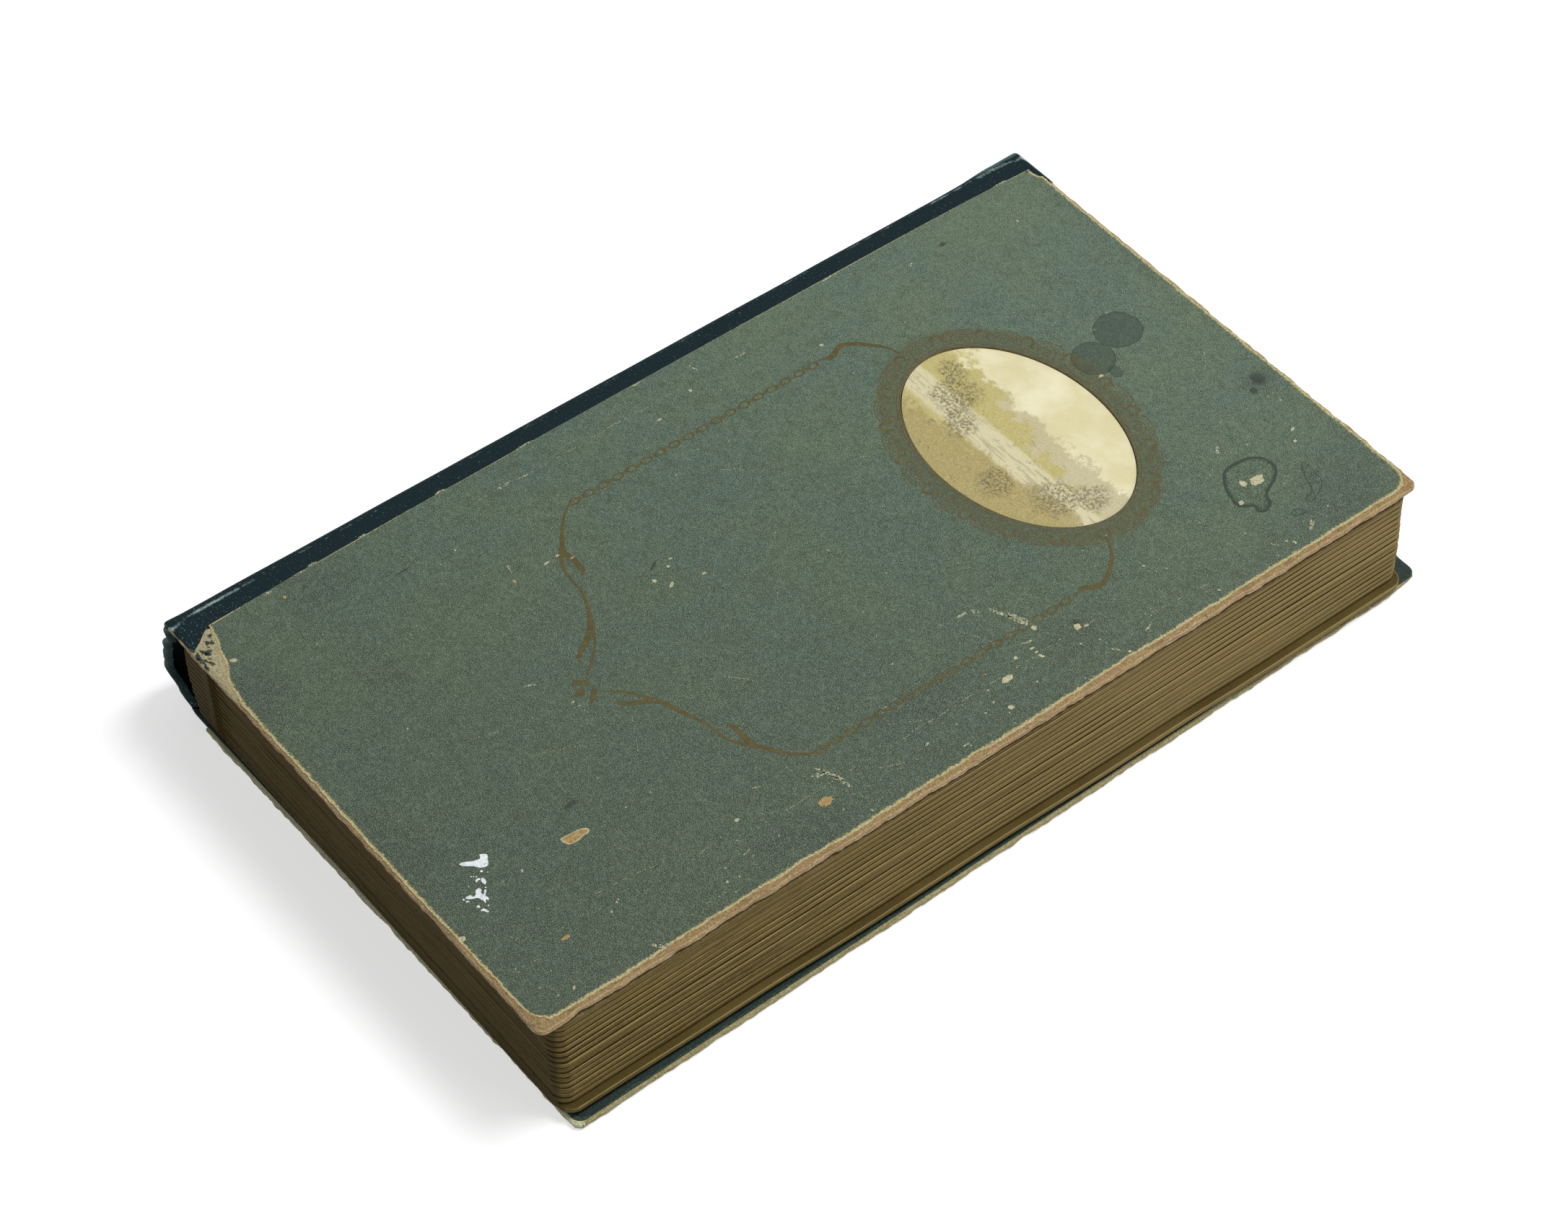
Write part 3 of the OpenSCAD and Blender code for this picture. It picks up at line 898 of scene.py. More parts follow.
paperEdge = {
    "low": (6.6, 0.9),
    "high": (219.9, 391.9),
    "corner": 9,
    "pitch": 0.9,
    "rings": (0.5, 0.6, 1.2),
    "thick": 0.14,
    "under": 0.08,
    "backFoot": 0.03,
    "backThick": 0.33,
    # where it ends beside the joint, where it is torn away at the tail, and how much it is short at the head
    "joint": [(0, 9.2), (12, 8.9), (50, 8), (110, 7.2), (207, 6.5), (345, 6.5), (361, 7), (377, 7.5),
              (392, 8)],
    "torn": [(8.5, 11.6), (12.1, 10.9), (14.8, 10.4), (20, 8), (23.6, 7.7), (28.1, 6.4), (33.4, 3.4),
             (39.1, 2.4), (46, 0.9)],
    "short": [(11, 1.7), (13.3, 1.5), (14.1, 0)],
    # how far inside the sheet each of them is felt
    "jointReach": 40,
    "tornReach": 34,
    "shortReach": 30,
    "fringe": 2,
    "jointFringe": 0.55,
    "biteReach": 3,
}


def paperBite(u, v, z, way):
    if way.x < -0.5:
        return 0.12 * wobble(u, v, 1, 9) + 0.16 * wobble(u, v, 1, 1.6)
    torn = 0.45 * wobble(u, v, 1, 8) + 0.35 * wobble(u, v, 5, 2) + 0.2 * wobble(u, v, 9, 0.9)
    if way.y < -0.5 and u > 150:
        torn += 1.2 * (u - 150) / 70
    if way.x > 0.5:
        torn += 0.8 * wobble(u, v, 2, 30)
    return torn


def makeCoverPaper(name, z, hole=None, torn=True):
    low, high, corner = paperEdge["low"], paperEdge["high"], paperEdge["corner"]
    piece = outlineSheet(name, low, high, z, corner, paperEdge["pitch"], paperEdge["rings"], hole)

    def fringe(p):
        inside, way = edgeOf(p.x, p.y, low, high, corner)
        inside = max(0, inside)
        if way.x < -0.5:  # thin and broken beside the joint
            return max(0, 1 - inside / paperEdge["jointFringe"]) * min(1, 0.62 + 0.9 * wobble(p.x, p.y, 7, 5))
        return max(0, 1 - inside / paperEdge["fringe"])
    storeValue(piece, "fringe", fringe)
    biteEdge(piece, low, high, corner, paperBite, paperEdge["biteReach"])

    def felt(away, reach):
        return max(0, 1 - away / paperEdge[reach])

    def fit(p):
        # draws the sheet in to its slanting line beside the joint and to its torn corner
        inward = (between(paperEdge["joint"], p.y) - low[0]) * felt(p.x - low[0], "jointReach")
        up = (between(paperEdge["torn"], p.x) - low[1]) * felt(p.y - low[1], "tornReach")
        down = between(paperEdge["short"], p.x + inward) * felt(high[1] - p.y, "shortReach")
        return p + Vector((inward, (up if torn else 0) - down, 0))
    mould(piece, fit)
    return piece


paper = makeCoverPaper("FrontCoverPaper", topZ - paperEdge["under"], (oval["wide"], oval["high"]))
thicken(paper, -paperEdge["thick"])
done(paper, coverPaper, "front_cover", ("front_cover_paper",))
print("front board and paper made")

# The back cover is made like the front one, and is slipped and slightly turned in its slack joint.
backTurn = math.radians(album["backTurn"])
slipped = (Matrix.Translation((foreU / 2 + album["slipU"], tall / 2 + album["slipV"], 0))
           @ Matrix.Rotation(backTurn, 4, "Z") @ Matrix.Translation((-foreU / 2, -tall / 2, 0)))

backBoard = makeBoard("BackBoard", boards["backFoot"], album["boardThick"], True)
backBoard.data.transform(slipped)
done(backBoard, backGreyboard, "back_cover", ("back_board",))

backPaper = makeCoverPaper("BackCoverPaper", paperEdge["backFoot"], None, False)
thicken(backPaper, paperEdge["backThick"])
backPaper.data.transform(slipped)
done(backPaper, coverPaper, "back_cover", ("back_cover_paper",))

pastedowns = {
    "margin": 1.6,
    "corner": 5,
    "pitch": 1.2,
    "rings": (0.6, 1.5),
    "thick": 0.28,
    "backFoot": 2.9,
    "frontUnder": 3.18,
    "biteReach": 2.5,
}


def makePastedown(name, z, body, node, slip):
    low = (album["jointGap"], pastedowns["margin"])
    high = (foreU - pastedowns["margin"], tall - pastedowns["margin"])
    piece = outlineSheet(name, low, high, z, pastedowns["corner"], pastedowns["pitch"], pastedowns["rings"])

    def bite(u, v, h, way):
        return 0 if way.x < -0.5 else 0.5 + 0.7 * wobble(u, v, 4, 9) + 0.4 * wobble(u, v, 6, 2.5)
    biteEdge(piece, low, high, pastedowns["corner"], bite, pastedowns["biteReach"])
    thicken(piece, pastedowns["thick"])
    if slip:
        piece.data.transform(slipped)
    done(piece, lining, body, (node,))


makePastedown("BackPastedown", pastedowns["backFoot"], "back_cover", "back_pastedown", True)
makePastedown("FrontPastedown", topZ - pastedowns["frontUnder"], "front_cover", "front_pastedown", False)
for node in ("front_turn_ins", "back_turn_ins"):
    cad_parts[node].data.materials.clear()
    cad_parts[node].data.materials.append(turnInPaper)
print("back board, papers and pastedowns made")

# the oval picture
picture = start(bpy.ops.mesh.primitive_cylinder_add, vertices=144, radius=0.5, depth=oval["picture"],
                location=(oval["u"], oval["v"], topZ - oval["deep"] + oval["picture"] / 2),
                rotation=(0, 0, math.radians(oval["turn"])))
picture.name = "OvalPicture"
sized(picture, oval["wide"] - oval["play"], oval["high"] - oval["play"], 1)
done(picture, picturePrint, "front_cover", ("oval_picture",))

# the print on the cover
printing = {
    "chains": [((40.6, 147.6), (40.0, 257.6)), ((185.6, 145.6), (186.2, 255.1))],
    "rings": 18,
    # length, width and line of the rings of a chain, and of the links between them
    "ring": (5.0, 3.6, 0.85),
    "link": (2.9, 1.5, 0.6),
    "scallops": 18,
    # half length and half width of the lace's outer edge
    "laceLong": 60.3,
    "laceShort": 46.2,
    "laceDeep": 10,
    "under": 0.07,
}
# each flourish: points on the cover with the width of the line there
flourishes = [
    [(40.7, 145.2, 0.8), (42.8, 141.9, 0.9), (46.5, 138.1, 1.1), (50.9, 134.4, 1.4), (55.3, 131.3, 1.9),
     (58.4, 128.8, 2.0), (61.5, 126.6, 1.4), (65.3, 125.0, 1.2), (70.3, 124.3, 1.0), (76.5, 123.8, 1.1),
     (80.3, 122.8, 1.2), (84, 121.3, 1.4), (88.4, 119.1, 1.8), (92.8, 116.9, 1.8), (96.5, 115, 1.3),
     (99.6, 113.1, 0.9), (102.8, 110, 0.9), (105.9, 106.9, 0.9), (109, 102.8, 0.8), (109.9, 101.3, 0.5)],
    [(56.5, 130, 1.2), (61, 130.2, 2.3), (64.5, 130.5, 2.4), (68, 130.3, 2.1), (70.2, 129.4, 1.4),
     (71, 128.4, 0.7)],
    [(84.5, 120.9, 1.1), (90, 118, 2.0), (93.5, 115.4, 2.3), (96.4, 112, 2.1), (99, 108, 1.9),
     (101, 105.2, 1.6), (103, 103.9, 0.9)],
    [(185.5, 143.2, 0.8), (183, 138.8, 1.1), (179.3, 135, 1.4), (174.9, 131.9, 1.7),
     (171.1, 129.1, 1.8), (167.4, 125.9, 1.2), (163, 123.4, 1.0), (158, 122.2, 1.0), (153, 121.6, 1.0),
     (148.6, 120.3, 1.2), (144.3, 118.8, 1.5), (139.3, 116.9, 1.8), (134.9, 115.3, 1.9),
     (131.1, 113.1, 1.5), (127.4, 110.9, 1.2), (123.6, 108.1, 1.0), (120.5, 104.4, 0.9),
     (118.3, 101.9, 0.5)],
    [(171.4, 129.3, 1.4), (166.8, 128.2, 2.4), (163, 128.1, 2.2), (159.3, 128.1, 1.8),
     (157.8, 127.2, 1.2), (158, 125.6, 0.5)],
    [(137, 116.4, 1.2), (133, 113.6, 2.3), (130.5, 109.4, 2.1), (128.9, 106.3, 1.7),
     (126.1, 103.4, 1.3), (124.8, 103.5, 0.6)],
    [(39.4, 260.6, 0.4), (39.6, 262.6, 1.0), (40.5, 265, 2.5), (40.2, 267.5, 2.7), (38.7, 270, 2.3),
     (38.2, 272.4, 2.1), (39.4, 275.2, 2.0), (41.7, 278.2, 1.9), (44.6, 281, 1.7), (47.5, 283.6, 1.4),
     (50.5, 285.5, 1.1), (53.6, 286.6, 0.8), (55.2, 287, 0.6)],
    [(186.2, 258.4, 0.4), (185.7, 261.4, 1.0), (185.2, 264.2, 2.3), (187.0, 267.0, 2.5),
     (187.9, 270.6, 2.0), (185.9, 275, 1.8), (182.3, 279.8, 1.6), (178.7, 283.1, 1.3),
     (174.4, 285.5, 1.0), (171.6, 286.6, 0.6)],
    [(109.2, 96.2, 1.6), (110.8, 98.4, 2.6), (112.8, 101, 1.8)],
    [(113.0, 96.6, 1.6), (114.4, 95.9, 3.4), (116.0, 95.4, 1.6)],
    [(120.2, 96.4, 1.2), (118, 98.8, 2.2), (115.6, 101.2, 1.5)],
    [(113.6, 92.2, 0.5), (114.3, 93.4, 1.1), (114.4, 94.8, 0.6)],
]


def flatten(piece, order):
    # the rim of an inked line lies on the paper, its middle a hair higher, each line over the one before
    # the rim value marks where the ink gets its painted shade
    storeValue(piece, "rim", lambda p: 0 if p.z > 0.01 else 1)
    raised = 0.026 + 0.0016 * order
    mould(piece, lambda p: Vector((p.x, p.y, raised if p.z > 0.01 else 0.004 if p.z > -0.01 else -0.03)))
    return piece


def stroke(points, order=0):
    # a flat inked line through the points, as wide at each as it says
    line = start(bpy.ops.curve.primitive_bezier_curve_add)
    line.data.splines.clear()
    spline = line.data.splines.new("BEZIER")
    spline.bezier_points.add(len(points) - 1)
    for knot, (u, v, wide) in zip(spline.bezier_points, points):
        knot.co = (u, v, 0)
        knot.handle_left_type = knot.handle_right_type = "AUTO"
        knot.radius = wide / 2
    line.data.dimensions = "3D"
    line.data.bevel_depth = 1
    line.data.bevel_resolution = 1
    line.data.resolution_u = 5
    line.data.use_fill_caps = True
    bpy.ops.object.convert(target="MESH")
    return flatten(bpy.context.object, order)


def ring(u, v, size, order=0, turns=16):
    long, wide, line = size
    piece = start(bpy.ops.mesh.primitive_torus_add, location=(u, v, 0), major_segments=turns,
                  minor_segments=6, major_radius=0.5, minor_radius=0.5 * line / wide)
    return flatten(sized(piece, wide - line, long - line, 1), order)


def printed(piece, finish):
    lift(piece, topZ - printing["under"])
    done(piece, finish, "front_cover")


parts = [stroke(flourish, order) for order, flourish in enumerate(flourishes)]
for (u0, v0), (u1, v1) in printing["chains"]:
    steps = printing["rings"] - 1
    step = (v1 - v0) / steps
    for k in range(printing["rings"]):
        u, v = u0 + (u1 - u0) * k / steps, v0 + step * k
        parts.append(ring(u, v, printing["ring"]))
        if k < steps:
            parts.append(ring(u, v + step / 2, printing["link"], 3, 10))
printed(joinPieces("CoverFlourishes", parts), goldInk)

ovalLong, ovalShort = oval["wide"] / 2, oval["high"] / 2
middleLong = (ovalLong + printing["laceLong"]) / 2
middleShort = (ovalShort + printing["laceShort"]) / 2
w = 2 * math.pi * math.sqrt((middleLong ** 2 + middleShort ** 2) / 2) / printing["scallops"]
# one scallop of the lace, w wide, from the oval (0) to its outer edge (10): lines and then rings
design = [
    [(-0.5 * w - 3.4, 4.4, 0.5), (-0.5 * w - 1.9, 4.9, 0.9), (-0.5 * w - 2.1, 7.0, 1.1), (-0.5 * w, 9.0, 1.3),
     (-0.5 * w + 2.1, 7.0, 1.1), (-0.5 * w + 1.9, 4.9, 0.9), (-0.5 * w + 3.4, 4.4, 0.5)],
    [(-0.5 * w + 3.0, 6.6, 0.4), (-0.3 * w, 8.5, 0.5), (0, 9.9, 0.5), (0.3 * w, 8.5, 0.5),
     (0.5 * w - 3.0, 6.6, 0.4)],
    [(-0.5 * w + 3.8, 5.6, 0.3), (-0.26 * w, 7.4, 0.35), (0, 8.8, 0.35), (0.26 * w, 7.4, 0.35),
     (0.5 * w - 3.8, 5.6, 0.3)],
    [(-3.6, 2.2, 0.4), (-3.7, 4.8, 0.5), (-2.2, 7.0, 0.5), (0, 7.8, 0.5), (2.2, 7.0, 0.5), (3.7, 4.8, 0.5),
     (3.6, 2.2, 0.4)],
    [(-0.5 * w, 3.3, 0.4), (-0.38 * w, 2.6, 0.4), (-3.6, 2.4, 0.4)],
    [(0.5 * w, 3.3, 0.4), (0.38 * w, 2.6, 0.4), (3.6, 2.4, 0.4)],
    [(-0.5 * w, 1.5, 0.5), (0, 1.5, 0.5), (0.5 * w, 1.5, 0.5)],
    [(-0.5 * w, 0.45, 0.5), (0, 0.45, 0.5), (0.5 * w, 0.45, 0.5)],
]
parts = [stroke(line, order) for order, line in enumerate(design)]
parts.append(ring(0, 4.8, (3.4, 3.4, 0.55), 9, 14))
parts.append(ring(0, 4.8, (1.3, 1.3, 0.6), 9, 8))
lace = joinPieces("LaceFrame", parts)
applyModifier(lace, "ARRAY", count=printing["scallops"], use_relative_offset=False, use_constant_offset=True,
              constant_offset_displace=(w, 0, 0))

# the strip of scallops is bent round the oval, by the way walked along its middle in half degrees
walked = [0]
halfDegrees = 720
for k in range(halfDegrees):
    a, b = math.radians(k / 2), math.radians((k + 1) / 2)
    stepU = middleLong * (math.cos(b) - math.cos(a))
    stepV = middleShort * (math.sin(b) - math.sin(a))
    walked.append(walked[-1] + math.hypot(stepU, stepV))


def roundOval(p):
    along = (p.x / (w * printing["scallops"])) % 1 * walked[-1]
    k = min(halfDegrees - 1, next(n for n, far in enumerate(walked) if far > along) - 1)
    a = math.radians((k + (along - walked[k]) / (walked[k + 1] - walked[k])) / 2)
    share = p.y / printing["laceDeep"]
    long = ovalLong + (printing["laceLong"] - ovalLong) * share
    short = ovalShort + (printing["laceShort"] - ovalShort) * share
    flat = Vector((long * math.cos(a), short * math.sin(a), 0))
    flat.rotate(Matrix.Rotation(math.radians(oval["turn"]), 3, "Z"))
    return Vector((flat.x + oval["u"], flat.y + oval["v"], p.z))


mould(lace, roundOval)
printed(lace, laceInk)
print("picture and print made")

# scuffs: place, half length, half width and turn,
# first the bare paper, then tan spots, then drops of white paint
scuffs = [
    [(184.7, 347.9, 2.1, 3.1, 0), (182.8, 342.6, 1.6, 1.2, 0), (189.4, 335.8, 1, 1.1, 0),
     (164.7, 346.7, 2.5, 0.7, -45), (212.8, 348.2, 2.8, 1, -53), (215.3, 337.8, 0.9, 0.5, 0),
     (173.8, 375.4, 0.5, 1.2, 20), (178.8, 372, 0.7, 0.7, 0), (211.9, 331.7, 1.6, 0.5, 30),
     (168.3, 222, 2.6, 0.8, 80), (170, 227, 2.4, 0.8, 55), (175.6, 233.2, 4.4, 0.8, 24),
     (182.4, 236.6, 5, 1.5, 20), (188.6, 238.4, 1.2, 1, 0), (200.7, 216, 1.3, 2.5, 0),
     (195.2, 224.3, 0.7, 0.7, 0), (192.1, 232.2, 2.7, 0.5, 75), (195.4, 231.8, 0.5, 1, 0),
     (197.6, 231.8, 0.4, 0.9, 0), (200, 232, 1.2, 0.6, 30), (197.6, 250.7, 1.4, 1.3, 0),
     (199, 253.6, 0.6, 1, 0), (213.8, 254.2, 1.8, 0.5, 35), (213.2, 270, 0.6, 1.9, 15),
     (217.5, 257.5, 0.6, 0.6, 0), (211.2, 208.6, 1.2, 0.9, 50), (214.6, 185.8, 0.4, 1.3, 0),
     (217.9, 52.2, 3.2, 0.8, 47), (194.6, 52, 1.6, 0.4, -55), (196.9, 48, 0.5, 0.5, 0),
     (175.6, 2.6, 1.2, 1.3, 0), (28.2, 9.8, 0.8, 1.4, -30), (195.6, 141, 6, 0.7, 28),
     (201.2, 142.2, 4.2, 0.8, 18), (193.8, 137.6, 0.9, 2.6, -10), (52.8, 109.9, 2.4, 0.4, -16),
     (27, 196, 0.5, 1, 0), (18.8, 132, 0.6, 4, 0), (19.4, 140, 0.4, 2.6, 0), (18.7, 181, 0.4, 3, 0),
     (22.2, 214, 0.7, 0.7, 0), (13.6, 222, 2.6, 0.4, 10), (21, 320, 0.5, 1.4, 20),
     (101, 84, 0.4, 2.2, -30), (33.6, 266.8, 0.7, 0.8, 0), (6.9, 112, 0.5, 2.4, 0),
     (9.4, 36, 0.6, 2, 0), (8.4, 50, 0.5, 3, 0), (7.6, 56, 0.4, 2, 0), (7.4, 78, 0.4, 2, 0),
     (6.8, 150, 0.4, 4, 0), (7.2, 200, 0.5, 3, 0), (7, 290, 0.4, 6, 0), (7.4, 376, 0.5, 4, 0),
     (214, 20, 0.5, 0.9, 40), (192, 104, 0.7, 0.9, 0), (204.8, 98, 0.4, 2.6, 14),
     (185, 118, 0.3, 1.8, -20), (19, 240, 0.4, 2.6, 0), (58.6, 122, 0.5, 1.2, 10),
     (58, 127, 0.4, 0.8, 0), (62, 131, 0.4, 1.4, 10), (89, 147, 0.9, 0.7, 30), (94, 151, 0.7, 1.3, 40),
     (86.5, 155, 0.6, 0.6, 0), (97, 163, 0.5, 1, 0), (84, 158, 0.4, 0.8, 0), (206, 176, 0.6, 1.6, 10),
     (110, 338, 0.6, 1.1, 0)],
    [(204.2, 132.6, 1.8, 2.8, -20), (196.1, 29.8, 0.7, 1.7, 0), (58.6, 108, 1, 0.6, 0),
     (194.4, 211, 0.5, 1.3, 10), (198.6, 222, 0.4, 2, 0), (14.6, 40, 0.8, 0.6, 0)],
    [(156.6, 23.9, 0.5, 0.5, 0), (162.7, 12.4, 0.4, 0.3, 0), (164.1, 12.9, 0.3, 0.7, -30),
     (156.4, 19.9, 0.22, 0.3, 0), (156.9, 20.5, 0.2, 0.25, 0), (157.5, 21.3, 0.2, 0.3, 0),
     (163, 21.1, 0.3, 0.3, 0), (169.7, 17.5, 0.25, 0.25, 0), (159.2, 16.9, 0.2, 0.25, 0)],
]
# larger ones by their outlines: drops of paint, a torn tan patch, and stains
drops = [
    [(150.2, 27.4), (151.6, 29.3), (152.6, 29.4), (153.6, 28.6), (155.8, 27.5), (156, 26.1),
     (155.3, 24.5), (154.3, 23.8), (153.1, 22.8), (152, 21.5), (151, 20.2), (150.2, 19.8),
     (149.7, 19.6), (149.5, 20.8), (150.5, 22.7), (151.5, 24.1), (151.7, 25.4), (152.1, 26.6),
     (151.5, 27.1)],
    [(158.9, 22.1), (159, 22.7), (159.9, 23), (161.1, 22.7), (162.1, 21.8), (161.6, 21.5),
     (160.5, 21.4), (159.6, 21.6)],
    [(158.4, 20.1), (158.2, 21.3), (158.6, 21.8), (159.3, 21.5), (159, 20.8), (159.5, 20.1),
     (159.3, 19.8)],
    [(163.5, 20.1), (163.9, 20.7), (164.7, 20.1), (165.5, 19.3), (166.1, 18.9), (166.6, 19.5),
     (167.4, 19.3), (167.9, 18.8), (167.5, 18.5), (167, 18.5), (167.5, 18), (168.3, 17.4),
     (167.9, 17.2), (167, 17.4), (166.3, 17), (165.4, 16.8), (164.6, 16.1), (164.2, 14.8),
     (163.4, 13.7), (162.5, 13.1), (162.2, 13.9), (162.5, 15.4), (163.7, 15.5), (163.7, 16.4),
     (163.3, 17), (162, 17.6), (161.9, 18.3), (161.7, 19.2), (162.9, 19.5), (163.8, 18.6), (165, 18.7),
     (164.7, 19.2)],
    [(167.9, 13.8), (167.5, 14.5), (167.8, 15.1), (168.4, 15), (168.7, 14.6), (168.2, 14.3)],
    [(170, 14.1), (169.5, 14.8), (169.8, 15.6), (170.7, 16), (171.7, 16.3), (172, 15.8), (171.4, 15.2),
     (170.6, 15), (170.3, 14.3)],
]
tanPatch = [(162.2, 53), (163.6, 53.1), (165.1, 53.7), (165.8, 55), (165.8, 57.6), (165.3, 59.3),
            (165.4, 60.9), (164.7, 61.9), (163.6, 61.7), (162.7, 60.3), (162.4, 58.3), (162.3, 56.7),
            (162.1, 55), (162, 54)]
stains = [
    [(174.2, 340.4), (173, 343.7), (173.2, 348), (174, 353.2), (177.2, 357.2), (181.3, 358.4),
     (185.1, 357.5), (188.5, 353.8), (190.5, 349), (192.4, 345.7), (196.4, 344.5), (198.1, 341),
     (197.7, 338.4), (195.8, 337.2), (193.4, 338.4), (192.2, 335.5), (189.4, 333.1), (185.2, 334.1),
     (181.1, 335.3), (177.3, 337.8)],
    [(188.1, 366.2), (188.8, 367.5), (194, 367.2), (198.7, 366.7), (202, 363.6), (203.4, 359.8),
     (204.9, 356.4), (203.1, 354.6), (201.5, 355.7), (200.7, 360.4), (195.1, 362.1), (190.9, 364)],
    [(203.7, 345.7), (203.4, 349.4), (206.9, 352.1), (207.3, 350.2), (206.3, 346.7)],
]
# fine scratches: place of the middle, half length and turn
scratches = [(198.7, 214, 44, 90), (199, 160, 40, 90), (19.2, 170, 50, 90), (171, 9, 5, 18),
             (131, 76, 8, 66), (189, 60, 14, 82), (196, 84, 12, 98), (152, 205, 13, 35),
             (176, 218, 10, 28), (120, 178, 8, -38), (66, 205, 8, 52), (96, 196, 6, -40),
             (206, 160, 12, 70), (160, 330, 7, 20), (126, 375, 4, -36), (210, 290, 14, 85),
             (150, 150, 15, 44), (86, 240, 8, 60), (140, 100, 10, -30), (214, 80, 12, 87),
             (204, 140, 9, 30), (194, 176, 8, 62), (110, 60, 7, 75), (72, 338, 9, 40),
             (184, 300, 9, 78)]
scuffing = {
    "thick": 0.03,
    "under": 0.05,
    # a tan patch lies over its bare rim, and the stains under the scuffs
    "tanRim": 1.16,
    "tanLift": 0.012,
    "stainLift": -0.016,
    # widths of the rings inside the outline of each stain
    "stainRims": [(0.5, 1.7), (0.6,), (0.6,)],
    "scratchWide": 0.14,
}


def flatDisc(points):
    return start(bpy.ops.mesh.primitive_circle_add, vertices=points, radius=1, fill_type="NGON",
                 location=(0, 0, 0))


def turned(u, v, x, y, turn):
    # the place x along and y across a line that is turned about a point of the cover
    aim = math.radians(turn)
    return u + x * math.cos(aim) - y * math.sin(aim), v + x * math.sin(aim) + y * math.cos(aim)


def flake(u, v, long, wide, turn, tone, points=26, rag=0.3):
    # a flat flake with a ragged outline
    piece = flatDisc(points)

    def move(p):
        out = 1 + rag * (wobble(p.x * 3 + u, p.y * 3 + v, u, 1.2, 3) - 0.1)
        x, y = p.x * long * out, p.y * wide * out
        y += 0.25 * wide * wobble(x, u, v, 1.5)
        return Vector((*turned(u, v, x, y, turn), p.z))
    mould(piece, move)
    thicken(piece, scuffing["thick"])
    slender = long > 2.5 * wide or wide > 2.5 * long
    for label, number in (("tone", tone), ("ragged", 1 if slender else 0), ("stain", 0)):
        storeValue(piece, label, lambda p: number)
    return piece


def blot(points, tone, raised=0.0, spread=1.0, rims=()):
    # a flat blot by its outline, whose corners are cut once; a stain is dark at its rim and paler inside
    middleU, middleV = sum(u for u, v in points) / len(points), sum(v for u, v in points) / len(points)
    points = [(middleU + (u - middleU) * spread, middleV + (v - middleV) * spread) for u, v in points]
    eased = []
    for (u0, v0), (u1, v1) in zip(points, points[1:] + points[:1]):
        for share in (0.2, 0.5, 0.8):
            u, v = u0 + (u1 - u0) * share, v0 + (v1 - v0) * share
            eased.append(Vector((u + 0.1 * wobble(u, v, 3, 0.8), v + 0.1 * wobble(u, v, 8, 0.8), raised)))
    piece = flatDisc(len(eased))
    for vertex, place in zip(piece.data.vertices, eased):
        vertex.co = place
    editMode(True)
    faceOutwards()
    for deep in rims:
        bpy.ops.mesh.inset(thickness=deep, use_even_offset=False)
    editMode(False)
    levels = [1, 0.1, 0.9]  # the second inset puts its vertices between the outline and the first
    stain = [levels[vertex.index // len(eased)] if rims else 0 for vertex in piece.data.vertices]
    for label, values in (("tone", [tone] * len(stain)), ("ragged", [0] * len(stain)), ("stain", stain)):
        storeList(piece, label, values)
    thicken(piece, scuffing["thick"])
    return piece


def scratch(u, v, half, turn):
    # a line of thin flakes that wanders, with gaps
    flakes, along = [], -half
    while along < half:
        long = 0.5 + 1.1 * abs(wobble(along, u, v, 1.3))
        drift = 0.5 * wobble(along, v, u, 14)
        if wobble(along, u, v, 5, 3) > -0.05:
            flakes.append(flake(*turned(u, v, along, drift, turn), long * 0.55, scuffing["scratchWide"],
                                turn, 0, 8))
        along += long * 1.5
    return flakes


parts = [flake(*spot, tone) for tone, spots in enumerate(scuffs) for spot in spots]
parts += [blot(drop, 2) for drop in drops]
parts += [blot(tanPatch, 0, 0, scuffing["tanRim"]), blot(tanPatch, 1, scuffing["tanLift"])]
for stain, rims in zip(stains, scuffing["stainRims"]):
    parts.append(blot(stain, -1, scuffing["stainLift"], 1, rims))
for line in scratches:
    parts += scratch(*line)
scuff = joinPieces("CoverScuffs", parts)
lift(scuff, topZ - scuffing["under"])
done(scuff, scuffed, "front_cover")
print("scuffs made")

# leaves
leaves = {
    "count": 16,
    "thick": 2.2,
    "gap": 0.65,
    "flyThick": 0.5,
    "flyPaper": 0.4,
    "coverClear": 0.6,
    "wide": 208,
    "tall": 384,
    "corner": 6,
    "cornerCuts": 6,
    "linen": 5,
    "skive": 6,
    "skived": 0.36,
    "leanU": 0.8,
    "leanV": 1,
    "fromTail": 5.4,
    "creaseU": 14,
    "lastWider": 2.9,
    "cells": (20, 44),
    "flyCells": (26, 44),
    "pageRim": 1.2,
    "arris": 0.42,
    # how far the gaps wander, and how wide they are
    "wave": 0.36,
    "gapHalf": 0.33,
    "gapVaries": 0.26,
    "gapLeast": 0.12,
    "flyWave": 0.16,
    "cardWide": 90,
    "cardTall": 140,
    "cardFrom": 12,
    "slitLong": 16,
    "slitWide": 0.6,
}
sheetCount = leaves["count"] + 2


def sheetThick(i):
    return leaves["thick"] if 0 < i < sheetCount - 1 else leaves["flyThick"]


def sheetZ(i):
    z = album["coverThick"] + leaves["coverClear"] + leaves["flyThick"] / 2
    for k in range(1, i + 1):
        z += (sheetThick(k - 1) + sheetThick(k)) / 2 + leaves["gap"]
    return z


def sheetPlace(i):
    depth = 1 - i / (sheetCount - 1)
    return leaves["creaseU"] + leaves["leanU"] * depth, leaves["fromTail"] + leaves["leanV"] * depth


def sheetWide(i):
    return leaves["wide"] + (leaves["lastWider"] if i == 1 else 0)


